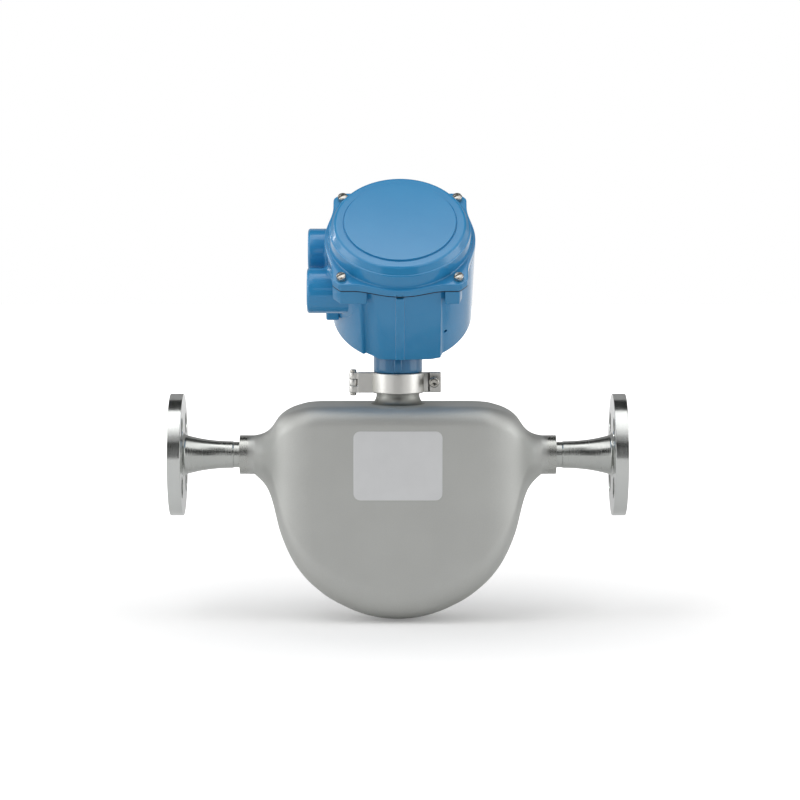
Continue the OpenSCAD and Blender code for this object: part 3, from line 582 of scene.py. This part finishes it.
def clamp_section():
    """C-shaped strip section (radius, height): flat band with two lips turned in, edges rounded."""
    return eased(filleted([[LIP_R, CLAMP_Z], [CLAMP_R, CLAMP_Z], [CLAMP_R, CLAMP_TOP], [LIP_R, CLAMP_TOP],
                           [LIP_R, CLAMP_TOP - 2], [BAND_R, CLAMP_TOP - 2.2], [BAND_R, CLAMP_Z + 2.2],
                           [LIP_R, CLAMP_Z + 2]], [0.3, 0.8, 0.8, 0.3, 0.2, 0.4, 0.4, 0.2], 4, closed=True),
                 closed=True)


def bar(x0, x1, y0, y1, z0, z1, edge=0.35):
    """Flat strip lying in the X-Z plane, from y0 to y1, with rounded corners and rims."""
    outline = rounded_outline(x1 - x0, z1 - z0, min(edge * 2, (z1 - z0) / 2 - 0.01), 5)
    return lie_along_front(slab(outline + [(x0 + x1) / 2, (z0 + z1) / 2], -y1, -y0, edge))


def circle(x, y, r, n=48):
    """Closed ring of n points."""
    a = np.linspace(0, TAU, n, endpoint=False)
    return np.column_stack([x + r * np.cos(a), y + r * np.sin(a)])


def bridge(side):
    """Strip that runs from the band to the ear in an S-bend: a thickness carried along a smooth step."""
    t = np.linspace(0, 1, 15)
    x = 17.6 + 5.6 * t
    front = SPLIT + 2.0 + 2.2 * smooth((t - 0.25) / 0.75)
    back = SPLIT + 0 * t
    outline = np.vstack([np.column_stack([x, front]), np.column_stack([x, back])[::-1]])
    return slab(outline * [1, side], CLAMP_Z + 0.02, CLAMP_TOP - 0.02, 0.25)


def clamp_sheets(side, thirds):
    """One clamp half: the swept band, the hinge leaf, the bridge, the ear, and the knuckles on the given thirds of
    its height."""
    band = turned(clamp_section(), 96, math.radians(2 if side > 0 else -178), math.radians(176))
    leaf = sorted((side * SPLIT, side * (SPLIT + LEAF_T)))
    ear = sorted((side * SPLIT, side * (SPLIT + EAR_T)))
    parts = [Sheet(band, close_u=False, close_v=True, caps="u"),
             Sheet(bar(-HINGE_X + KNUCKLE_R + 0.25, -CLAMP_R + 0.8, *leaf, CLAMP_Z, CLAMP_TOP), caps="v"),
             Sheet(bridge(side), caps="v"),
             Sheet(bar(CLAMP_R + 2.7, CLAMP_R + 12.7, *ear, CLAMP_Z, CLAMP_TOP, 0.5), caps="v")]
    third = CLAMP_H / 3
    knuckle_leaf = sorted((side * SPLIT, side * (KNUCKLE_R - 0.05)))
    for k in thirds:
        z0 = CLAMP_Z + k * third + (0.1 if k > 0 else 0)
        z1 = z0 + third - (0.2 if k == 1 else 0.1)
        parts.append(Sheet(slab(circle(-HINGE_X, 0, KNUCKLE_R), z0, z1, 0.25), caps="v"))
        parts.append(Sheet(bar(-HINGE_X + 0.6, -HINGE_X + KNUCKLE_R + 1.0, *knuckle_leaf, z0, z1, 0.25), caps="v"))
    return [Sheet(at_mid(p.points), p.close_u, p.close_v, p.caps) for p in parts]


piece("clamp_rear", clamp_sheets(1, [1]), "sensor", satin, ["clamp_rear_half"])
front_half = piece("clamp_front", clamp_sheets(-1, [0, 2]), "clamp_front", satin,
                   ["clamp_front_half"])

window = slab(rounded_outline(4.4, 7.4, 2.1, 6), -6, 1, 0.2)
drilled(front_half, [[Sheet(at_mid(lie_along_front(window) + [20.9, -0.9, SCREW_Z]), caps="v")]])

pin = filleted([[0, CLAMP_Z - 2.15], [2.3, CLAMP_Z - 2.15], [2.3, CLAMP_Z - 0.15], [1.5, CLAMP_Z - 0.15],
                [1.5, CLAMP_TOP + 0.15], [2.3, CLAMP_TOP + 0.15], [2.3, CLAMP_TOP + 2.15], [0, CLAMP_TOP + 2.15]],
               [0, 0.7, 0.3, 0, 0, 0.3, 0.9, 0], 6)
piece("hinge_pin", [Sheet(at_mid(turned(eased(pin), 48) - [HINGE_X, 0, 0]))], "sensor", bright,
      ["clamp_hinge_pin"])


def cap_screw():
    """Socket cap screw: knurled head of 40 fine ridges, hexagon socket, plain shank; axis along Z, face up."""
    a = np.linspace(0, TAU, 240, endpoint=False)[:, None]
    hexagon = 2.0 / np.cos((a + math.pi / 6) % (math.pi / 3) - math.pi / 6)
    outer = np.array([[0.0, -8.9], [1.9, -8.9], [2.3, -8.4], [2.3, -0.3], [2.5, 0.0], [3.85, 0.0], [3.9, 0.3],
                      [3.9, 3.6], [3.5, 4.2], [3.0, 4.5]])
    ridge = np.zeros(len(outer))
    ridge[6:8] = 0.07
    r, z = joined(a, (outer[:, 0] - ridge * (1 + np.cos(40 * a)), outer[:, 1]), (hexagon + 0.25, 4.5),
                  (hexagon, 4.25), (hexagon * 0.98, 1.9), (0, 1.2))
    return polar(r, a, z)


piece("clamp_bolt", [Sheet(at_mid(lie_along_front(cap_screw()) + [SCREW_X, -SPLIT - EAR_T, SCREW_Z]))],
      "clamp_screw", bright, ["clamp_screw"], crease=40)


# ---------------------------------------------------------------- electronics head
DRUM_R, DRUM_LOW_R, DRUM_H, DRUM_BORE, FLOOR = 53.8, 50.9, 69.6, 46.0, 8.0
BOSS_R, BOSS_Y, BOSS_Z, BOSS_X, CONDUIT_R = 16.35, 20.75, -25.0, -66.8, 10.5
LUG_HALF, LUG_CUT, LUG_H = 47.9, 42.3, 12.5


def rounded_min(a, b, r):
    """Lower of two surfaces, their meeting rounded over r."""
    t = np.clip((r - np.abs(a - b)) / r, 0, 1)
    return np.minimum(a, b) - 0.25 * r * t * t


def rounded_max(a, b, r):
    """Higher of two surfaces, their meeting filled over r."""
    return -rounded_min(-a, -b, r)


def line_radius(a, nx, ny, d):
    """Distance from the centre to the straight line nx x + ny y = d, along direction a; far where it misses."""
    along = nx * np.cos(a) + ny * np.sin(a)
    return np.where(along > 0.05, d / np.maximum(along, 0.05), 400.0)


def line_at(x, p, q):
    """Height at x of the straight line through two points."""
    return p[1] + (x - p[0]) * (q[1] - p[1]) / (q[0] - p[0])


# The front panel: its lower edge is level, PANEL_Z above the flow axis. At the seam its two flats run through these
# points (x, distance to the front), and the rib between them stands out to RIB_U.
PANEL_Z = 70.4
SEAM_PANEL_L, SEAM_PANEL_R = ((-24.0, 45.2), (-3.0, 52.3)), ((3.0, 52.3), (29.4, 45.2))
RIB_HALF, RIB_U, PANEL_X0, PANEL_X1, DRUM_DRIFT = 3.2, 54.0, -30.0, 29.4, 1.6


def drum_outline(radius, t):
    """One ring round the housing for each drum radius; t runs from 0 at the seam to 1 at the bottom. From the
    panel's sharp right edge the arc of the drum goes round the back to the left; there it sinks into a valley
    that deepens downwards, and two flats and the rib between them close the ring. Off the panel the ring drifts
    to the right with depth. The last output marks the points of the panel."""
    radius, t = radius[:, None], t[:, None]
    end = -np.arcsin(np.sqrt(radius**2 - PANEL_X1**2) / radius)
    far = math.pi + np.arcsin(np.sqrt(radius**2 - PANEL_X0**2) / radius)
    s = np.linspace(0, 1, 220)[None, :]
    a = end + (far - end) * s
    arc = np.stack([radius * np.cos(a), radius * np.sin(a)], -1)
    x = np.linspace(PANEL_X0, -RIB_HALF - 0.9, 46)[None, 1:]
    plane = line_at(x, *SEAM_PANEL_L)
    drum = np.sqrt(radius**2 - x**2)
    w = smooth((x + 29.0) / 4.0)
    dip = (1.2 + 3.0 * t) * (1 - smooth((x + 24.5) / (7 + 8 * t)))
    left = (1 - w) * drum + w * (plane - dip)
    rib = filleted([[-RIB_HALF - 0.9, line_at(-RIB_HALF - 0.9, *SEAM_PANEL_L)], [-RIB_HALF, 52.3],
                    [-RIB_HALF + 0.1, RIB_U], [RIB_HALF - 0.1, RIB_U], [RIB_HALF, 52.3],
                    [RIB_HALF + 0.9, line_at(RIB_HALF + 0.9, *SEAM_PANEL_R)]], [0, 0.5, 0.8, 0.8, 0.5, 0], 4)[1:-1]
    rx = np.linspace(RIB_HALF + 0.9, PANEL_X1 - 0.5, 24)[None, :]
    right = line_at(rx, *SEAM_PANEL_R)
    c = np.linspace(0, math.pi / 2, 5)[None, :]
    cx = PANEL_X1 - 0.5 + 0.5 * np.sin(c)
    cu = line_at(PANEL_X1 - 0.5, *SEAM_PANEL_R) - 0.5 + 0.5 * np.cos(c)
    side_u = np.maximum(np.sqrt(radius**2 - PANEL_X1**2) + 0.02, 0)
    cu = np.maximum(cu, side_u)
    xs, us = joined(radius, (x, left), rib.T, (rx, right), (cx[:, 1:], cu[:, 1:]))
    mark = np.concatenate([0 * s[0], smooth((x[0] + 30) / 8), np.ones(xs.shape[1] - x.shape[1])])
    ring = np.concatenate([arc, np.stack([xs, -us], -1)], 1)
    ring[..., 0] += DRUM_DRIFT * t * (1 - mark)
    return ring, mark


def housing_wall():
    """Outside from the bottom's centre up to the seam, then inside down the bore to the floor's centre."""
    low, edge, lip = -DRUM_H, 3.0, 1.2
    h = np.concatenate([[0.0, 0.0], np.linspace(0.9, DRUM_H - edge, 40), np.full(9, DRUM_H - edge)])
    taper = DRUM_R + (DRUM_LOW_R - DRUM_R) * h / (DRUM_H - edge)
    ring, mark = drum_outline(taper, h / DRUM_H)
    turn = np.concatenate([np.zeros(42), np.linspace(0.02, math.pi / 2, 9)])[:, None]
    z = -h[:, None] + 0 * mark[None, :]
    z_drum = np.where(turn > 0, low + edge - edge * np.sin(turn), z)
    u_end = -ring[-1, :, 1]
    level = -np.clip((HEAD_Z - PANEL_Z - u_end * math.sin(TILT)) / math.cos(TILT), 60.0, DRUM_H - 0.3)
    z_panel = np.where(turn > 0, level + lip - lip * np.sin(turn), z * (-(level + lip) / (DRUM_H - edge)))
    z = z_drum * (1 - mark) + z_panel * mark
    draw_in = (edge * (1 - mark) + lip * mark) * (1 - np.cos(turn))
    draw_in[0] = 0.3
    z[1] = -0.3
    size = np.linalg.norm(ring, axis=-1)
    ring = ring * ((size - draw_in) / size)[..., None]
    out = np.concatenate([ring, z[..., None]], -1)[::-1]
    unit = ring[0] / np.linalg.norm(ring[0], axis=-1, keepdims=True)
    floor = low + FLOOR
    start = [(0.0, low), (20.0, low), (44.0, low)]
    inner = [(DRUM_BORE + 0.4, 0.0), (DRUM_BORE, -0.4), (DRUM_BORE, -2.0), (DRUM_BORE, -20.0), (DRUM_BORE, -40.0),
             (DRUM_BORE, floor + 2), (DRUM_BORE - 0.6, floor + 0.6), (DRUM_BORE - 2, floor), (20.0, floor),
             (0.0, floor)]

    def flat(rz):
        """Level circles, each with a radius and a height, their points at the seam ring's angles."""
        return np.stack([np.column_stack([unit * r, np.full(len(unit), z0)]) for r, z0 in rz])
    return np.concatenate([flat(start), out, flat(inner)]).transpose(1, 0, 2)


def conduit_boss(y):
    """Tube along -X from the drum: its root flares as a quarter circle of 3 mm onto the drum, its mouth is
    rounded, and its bore carries a thread drawn as a sine of 1.8 mm pitch."""
    a = np.linspace(0, TAU, 128, endpoint=False)[:, None]
    reach = BOSS_R + 3.0
    depth = np.clip(-(BOSS_Z + reach * np.sin(a)) / (DRUM_H - 3), 0, 1)
    drum = DRUM_R + (DRUM_LOW_R - DRUM_R) * depth
    root = -np.sqrt(np.maximum(drum**2 - (y + reach * np.cos(a)) ** 2, 400.0)) + 0.4
    q = np.linspace(0, 1, 9)[None, :]
    flare_r = BOSS_R + 3 * (1 - np.sqrt(1 - q**2))
    flare_x = root - 3 * (1 - q)
    mouth = filleted([[CONDUIT_R + 0.4, BOSS_X], [BOSS_R, BOSS_X], [BOSS_R, BOSS_X + 6]], [0, 2.0, 0], 8)
    s = np.linspace(1.2, 17, 96)[None, :]
    thread_r = CONDUIT_R + 0.18 + 0.18 * np.cos(TAU * s / 1.8 - a)
    r, x = joined(a, (CONDUIT_R + 0.5, BOSS_X), mouth[1:].T, (BOSS_R, root - 3.6), (flare_r, flare_x),
                  (reach, root + 1.2), (CONDUIT_R, root + 2.4), (CONDUIT_R, BOSS_X + 17.6),
                  (thread_r[:, ::-1], BOSS_X + s[:, ::-1]), (CONDUIT_R + 0.5, BOSS_X + 0.5))
    return Sheet(at_head(np.stack([x, y + r * np.cos(a), BOSS_Z + r * np.sin(a)], -1)), close_v=True)


def lug_outline(near, far):
    """Plan of one corner lug: the octagon's corner from the given inner side to the given outer side, its inner
    corner in the wall."""
    return filleted([[near, 40.0], [38.0, 33.5], [far, 33.5], [far, LUG_CUT], [min(far, LUG_CUT) - 0.1, LUG_HALF],
                     [near, LUG_HALF]], [1.3] * 6, 5, closed=True)


def z_hole(x, y, r, z0, z1, rim=0.3):
    """Cylinder cutter along the head's axis with a chamfer at its upper end."""
    line = np.array([[0, z0], [r, z0], [r, z1 - rim], [r + rim, z1], [r + rim, z1 + 2], [0, z1 + 2]])
    return [Sheet(at_head(turned(line, 40) + [x, y, 0]))]


CORNERS, LID_SCREW = [(1, 1), (-1, 1), (-1, -1), (1, -1)], 41.5  # LID_SCREW: a screw's x and y from the axis
LUG_NEAR, LUG_FAR = (33.5, 33.5, 23.3, 31.8), (LUG_HALF, LUG_HALF, LUG_HALF, 44.0)
drum = piece("head_drum", [Sheet(at_head(housing_wall()))], "head", paint, ["head_housing"], 32)
wire_way = np.array([[0, 0], [CONDUIT_R + 0.02, 0], [CONDUIT_R + 0.02, 16], [0, 16]])
cutters = [[Sheet(at_head(lie_to_left(turned(wire_way, 96)) + [-38, y, BOSS_Z]))] for y in (BOSS_Y, -BOSS_Y)]
drain = turned(np.array([[0, 0], [1.3, 0], [1.3, 8.0], [0, 8.0]]), 32)
cutters.append([Sheet(at_head(lie_along_front(drain) + [32.6, -38.5, -46]))])
notch = bar(-2.6, 2.6, 49.5, 57, -1.6, 1.0, 0.3)
cutters.append([Sheet(at_head(on_front(notch)), caps="v")])
drilled(drum, cutters, 32)

for k, (sx, sy) in enumerate(CORNERS):
    plan = lug_outline(LUG_NEAR[k], LUG_FAR[k]) * [sx, sy]
    lug = piece("head_lug_%d" % k, [Sheet(at_head(slab(plan, -LUG_H, 0, 0.8, 5)), caps="v")], "head",
                paint)
    drilled(lug, [z_hole(sx * LID_SCREW, sy * LID_SCREW, 1.95, -11, 0)])
for y, word in ((-BOSS_Y, "front"), (BOSS_Y, "rear")):
    piece("conduit_boss_" + word, [conduit_boss(y)], "head", paint)
stop = slab(rounded_outline(9.4, 14, 1.5, 5) + [-48.7, -21], -48, -32, 0.8, 4)
piece("casting_stop", [Sheet(at_head(stop), caps="v")], "head", paint)


# ---------------------------------------------------------------- neck under the drum
NECK_R, NECK_LOW = 17.7, CLAMP_Z + 7.5


def neck_wall():
    """Neck turned about the upright axis; each line of it ends on a plane that lies inside the drum's floor."""
    low = filleted([[WIRE_R, NECK_LOW], [RIDGE_R, NECK_LOW], [RIDGE_R, CLAMP_TOP - 2.5],
                    [GROOVE_R, CLAMP_TOP - 2.3], [GROOVE_R, CLAMP_TOP + 0.2], [NECK_R - 0.3, CLAMP_TOP + 0.5],
                    [NECK_R, CLAMP_TOP + 1.6]], [0, 0.3, 0.3, 0.1, 0.2, 0.5, 0], 4)
    a = np.linspace(0, TAU, 128, endpoint=False)[:, None]
    top_z = HEAD_Z + (-DRUM_H + 4.0 + (NECK_R * np.sin(a) + HEAD_Y) * math.sin(TILT)) / math.cos(TILT)
    q = np.linspace(0, 1, 14)[None, 1:]
    z_side = CLAMP_TOP + 1.6 + (top_z - CLAMP_TOP - 1.6) * q
    r, z = joined(a, low.T, (NECK_R, z_side), (WIRE_R, top_z))
    return polar(r, a, z)


def web_sheet():
    """Cast web behind the neck: its outline in the Y-Z plane, 7 mm wide, with rounded rims."""
    outline = filleted([[NECK_R - 3, CLAMP_TOP + 4], [NECK_R - 0.2, CLAMP_TOP + 4], [46, 126], [40, 128],
                        [NECK_R - 3, 108]], [1.3, 1.3, 1.4, 1.3, 1.3], 4, closed=True)
    return lie_along_x(slab(outline, -3.5, 3.5, 0.8, 4))


# The neck, its web and its rib wear the deeper enamel: painted shade under the drum.
piece("neck", [Sheet(at_mid(neck_wall()), close_v=True)], "head", neck_paint_painted_shade, ["head_neck"])
piece("neck_web", [Sheet(at_mid(web_sheet()), caps="v")], "head", neck_paint_painted_shade)
tongue = slab(rounded_outline(6, 5, 1.3, 4) + [0, -NECK_R + 1.2], CLAMP_TOP + 1.4, CLAMP_TOP + 12.4, 0.8, 4)
piece("neck_rib", [Sheet(at_mid(tongue), caps="v")], "head", neck_paint_painted_shade)


# ---------------------------------------------------------------- cover
SEAM, FLANGE_R, FLANGE_H, EAR_HALF, EAR_CUT, COVER_H = 0.9, 54.1, 6.0, 48.3, 42.5, 23.0
COVER_R, COVER_WALL, RIM, GASKET_BORE_R = 48.1, 3.1, 7.9, 47.0


def ear_outline(grow=0.0):
    """Plan of the flange as a radius for each angle: the larger of the circle and the cut square, their meeting
    filled over 5 mm, the square's corners rounded."""
    a = np.linspace(0, TAU, 480, endpoint=False)
    quarters = np.arange(4) * TAU / 4
    flats = [line_radius(a, math.cos(b), math.sin(b), EAR_HALF + grow) for b in quarters]
    cuts = [line_radius(a, math.cos(b), math.sin(b), (EAR_HALF + EAR_CUT) / math.sqrt(2) + grow)
            for b in quarters + TAU / 8]
    ears = rounded_min(np.min(flats, 0), np.min(cuts, 0), 1.5)
    return a, rounded_max(ears, 0 * a + FLANGE_R + grow, 5.0)


def ringed(a, rings):
    """Grid of rings about Z, each a radius, one for all or one for each angle, and a height."""
    return polar(np.stack([np.broadcast_to(r, a.shape) for r, z in rings], 1), a[:, None],
                 np.array([z for r, z in rings]))


def cover_wall():
    """Profile from the ceiling's centre down the bore, round the flange and up over the crown; the flange's
    points follow the eared plan, all others are circles."""
    a, ear = ear_outline()
    flange_top, wall_top, ceiling = SEAM + FLANGE_H, COVER_H - 5.6, COVER_H - 4.5
    land, face, bore, groove = COVER_H - 0.4, COVER_H + 0.78, COVER_R - COVER_WALL, COVER_R - RIM
    inner = [(0, ceiling), (30, ceiling), (bore - 1.5, ceiling), (bore, COVER_H - 6), (bore, SEAM + 0.4),
             (bore + 0.4, SEAM)]
    rim = [(-1.4, SEAM), (-0.4, SEAM), (-0.1, SEAM + 0.1), (0, SEAM + 0.4), (0, SEAM + 1.4), (0, flange_top - 1.9),
           (-0.02, flange_top - 0.95), (-0.15, flange_top - 0.5), (-0.4, flange_top - 0.15),
           (-0.8, flange_top - 0.02), (-1.6, flange_top)]
    crown = filleted([[COVER_R + 4.6, flange_top], [COVER_R + 3.4, flange_top], [COVER_R + 2.6, wall_top - 0.6],
                      [COVER_R + 2.2, wall_top], [COVER_R + 1.5, wall_top + 0.1], [COVER_R - 1.25, land],
                      [groove + 0.6, land], [groove + 0.3, COVER_H - 0.7], [groove - 0.1, COVER_H - 0.7],
                      [groove - 0.25, face], [20, face], [0, face]],
                     [0, 0.9, 0.4, 0.3, 0.2, 2.4, 0.2, 0.15, 0.15, 0.25, 0, 0], 7)
    return ringed(a, inner + [(ear + d, z) for d, z in rim] + eased(crown, 0.3).tolist())


lid = piece("lid", [Sheet(at_head(cover_wall()))], "cover", paint, ["head_cover"], 32)
pry = bar(-2.6, 2.6, FLANGE_R - 3, FLANGE_R + 2, SEAM - 1.5, SEAM + 1.4, 0.25)
drilled(lid, [z_hole(sx * LID_SCREW, sy * LID_SCREW, 1.9, -2, SEAM + FLANGE_H, 0.2) for sx, sy in CORNERS]
        + [[Sheet(at_head(on_front(pry)), caps="v")]], 32)


def gasket_band():
    """Flat ring of the flange's plan, drawn in by 0.3 mm and bulging by 0.2 mm between the faces."""
    a, ear = ear_outline(-0.2)
    bulge = [(0.0, 0.02), (0.16, 0.25), (0.2, 0.45), (0.16, 0.65), (0.0, 0.88)]
    return ringed(a, [(ear - 0.1 + d, z) for d, z in bulge] + [(GASKET_BORE_R, 0.88), (GASKET_BORE_R, 0.02)])


seal = piece("cover_seal", [Sheet(at_head(gasket_band()), close_v=True)], "head", nitrile,
             ["cover_gasket"])
drilled(seal, [z_hole(sx * LID_SCREW, sy * LID_SCREW, 2.1, -1, SEAM, 0.0) for sx, sy in CORNERS])


def cover_screw(x, y):
    """Cheese-head screw: shank and round head with a domed top, turned; its slot is cut next."""
    top = SEAM + FLANGE_H
    line = filleted([[0, -8.5], [1.2, -8.5], [1.6, -8.1], [1.6, top], [3.55, top], [3.55, top + 3.6], [0, top + 3.9]],
                    [0, 0.1, 0.1, 0, 0.3, 1.0, 0], 6)
    return Sheet(at_head(turned(eased(line), 64) + [x, y, 0]))


SLOT_TURN = math.radians(30)
c, s = math.cos(SLOT_TURN), math.sin(SLOT_TURN)
turn = np.array([[c, s, 0], [-s, c, 0], [0, 0, 1]])
slot = slab(rounded_outline(10, 1.2, 0.1, 2), 0, 3, 0.05) + [0, 0, SEAM + FLANGE_H + 2.1]
for k, (sx, sy) in enumerate(CORNERS):
    x, y = sx * LID_SCREW, sy * LID_SCREW
    screw = piece("cover_screw_%d" % k, [cover_screw(x, y)], "cover", bright,
                  ["cover_screws"] if k == 0 else ())
    drilled(screw, [[Sheet(at_head(slot @ turn + [x, y, 0]), caps="v")]])


# ---------------------------------------------------------------- floor, light and world
FLOOR_Z, mx = -0.1205, MID / 1000
centre = (mx, 0, 0.05)


def area_light(name, at, aim_at, size, watts):
    """White rectangular lamp in metres, turned to face its aim."""
    lamp = bpy.data.lights.new(name, "AREA")
    lamp.shape, lamp.size, lamp.size_y, lamp.energy = "RECTANGLE", size[0], size[1], watts
    obj = bpy.data.objects.new(name, lamp)
    way = (Vector(aim_at) - Vector(at)).to_track_quat("-Z", "Y").to_matrix().to_4x4()
    obj.matrix_world = Matrix.Translation(Vector(at)) @ way
    bpy.context.scene.collection.objects.link(obj)
    return obj


def card(name, across, low, high, material):
    """Flat board in metres: from one x to the other, measured from mid-length, and from its low edge (y, z) to
    its high edge."""
    mesh = bpy.data.meshes.new(name)
    left, right = (mx + x for x in across)
    mesh.from_pydata([(left, *low), (right, *low), (right, *high), (left, *high)], [], [(0, 1, 2, 3)])
    obj = bpy.data.objects.new(name, mesh)
    obj.data.materials.append(material)
    bpy.context.scene.collection.objects.link(obj)
    return obj


for side, word, watts in ((-1, "left", 4.6), (1, "right", 3.6)):
    area_light("key_" + word, (mx + 0.46 * side, -0.72, 1.55), (mx + 0.18 * side, 0, 0.05), (0.6, 2.2), watts)
top = area_light("top", (mx - 0.5, -0.5, 1.6), centre, (1.4, 1.2), 6)
top.visible_glossy = False
area_light("rim", (mx - 1.5, 0.9, 0.75), centre, (0.08, 1.2), 2.6)
area_light("left", (mx - 1.7, -0.3, 0.1), centre, (1.2, 1.4), 9)
area_light("right", (mx + 1.7, -0.3, 0.1), centre, (1.2, 1.4), 9)

# Black felt and a grey board, seen only in reflections: felt behind the camera and over the back gives the dark bands
# in polished steel. The small felt flag and lid just in front of the neck are painted shade: they darken the
# reflections on the case's top and on the neck where the head's shade falls.
felt, tree, shader = finish_of("studio_felt", "#262827", 0.0, 0.95)
grey, tree, shader = finish_of("studio_grey_board", "#C8C8C8", 0.0, 0.95)
for name, across, low, high, board in (("front_card_left", (-1.3, -0.25), (-3.6, -0.1), (-3.6, 2.1), felt),
                                       ("front_card_right", (0.25, 1.3), (-3.6, -0.1), (-3.6, 2.1), felt),
                                       ("mid_card", (-0.3, 0.3), (-1.9, 0.65), (-1.35, 1.2), felt),
                                       ("high_card", (-0.16, 0.16), (-1.35, 1.2), (-0.75, 1.6), felt),
                                       ("neck_painted_shade_flag", (-0.085, 0.085), (-0.2, 0.055), (-0.2, 0.13), felt),
                                       ("neck_painted_shade_lid", (-0.085, 0.085), (-0.2, 0.13), (-0.11, 0.13), felt),
                                       ("top_card", (-2, 2), (0.15, 1.5), (1.3, 1.5), felt),
                                       ("back_card", (-2.5, 2.5), (1.3, 1.5), (3.4, 0.25), grey)):
    obj = card(name, across, low, high, board)
    obj.visible_camera = obj.visible_diffuse = obj.visible_shadow = False

# White paper floor. To the camera it glows a little, more so away from the part, so that it ends in white; far
# out it glows in reflections as well.
paper, tree, shader = finish_of("studio_paper", "#E6E6E6", 0.0, 0.9, Specular_IOR_Level=0.1,
                                Emission_Color=(1, 1, 1, 1))
where = add(tree, "ShaderNodeTexCoord")
away = add(tree, "ShaderNodeVectorMath", [(0, where.outputs["Object"]), (1, (mx, 0, FLOOR_Z))],
           operation="DISTANCE")
glow = add(tree, "ShaderNodeMapRange", [("Value", away.outputs["Value"])], From_Min=0.1, From_Max=0.9, To_Min=0.2,
           To_Max=1.0)
far_glow = add(tree, "ShaderNodeMapRange", [("Value", away.outputs["Value"])], From_Min=1.0, From_Max=2.2,
               To_Min=0.0, To_Max=0.55)
path = add(tree, "ShaderNodeLightPath")
lit = add(tree, "ShaderNodeMath", [(0, path.outputs["Is Camera Ray"]), (1, glow.outputs["Result"])],
          operation="MULTIPLY")
shine = add(tree, "ShaderNodeMath", [(0, path.outputs["Is Glossy Ray"]), (1, far_glow.outputs["Result"]),
                                     (2, lit.outputs[0])], operation="MULTIPLY_ADD")
tree.links.new(shine.outputs[0], shader.inputs["Emission Strength"])
card("floor", (-4, 4), (-4, FLOOR_Z), (4, FLOOR_Z), paper)

# White world: half as strong on diffuse surfaces, three quarters in reflections, full behind the part.
world = bpy.data.worlds.new("studio")
bpy.context.scene.world = world
world.use_nodes = True
tree = world.node_tree
back = tree.nodes["Background"]
back.inputs["Color"].default_value = linear("#FFFFFF")
path = add(tree, "ShaderNodeLightPath")
seen = add(tree, "ShaderNodeMath", [(0, path.outputs["Is Camera Ray"]), (1, path.outputs["Is Transmission Ray"])],
           operation="MAXIMUM")
level = add(tree, "ShaderNodeMapRange", [("Value", seen.outputs[0])], To_Min=0.5, To_Max=1.0)
shine = add(tree, "ShaderNodeMath", [(0, path.outputs["Is Glossy Ray"]), (1, 0.25), (2, level.outputs["Result"])],
            operation="MULTIPLY_ADD")
tree.links.new(shine.outputs[0], back.inputs["Strength"])
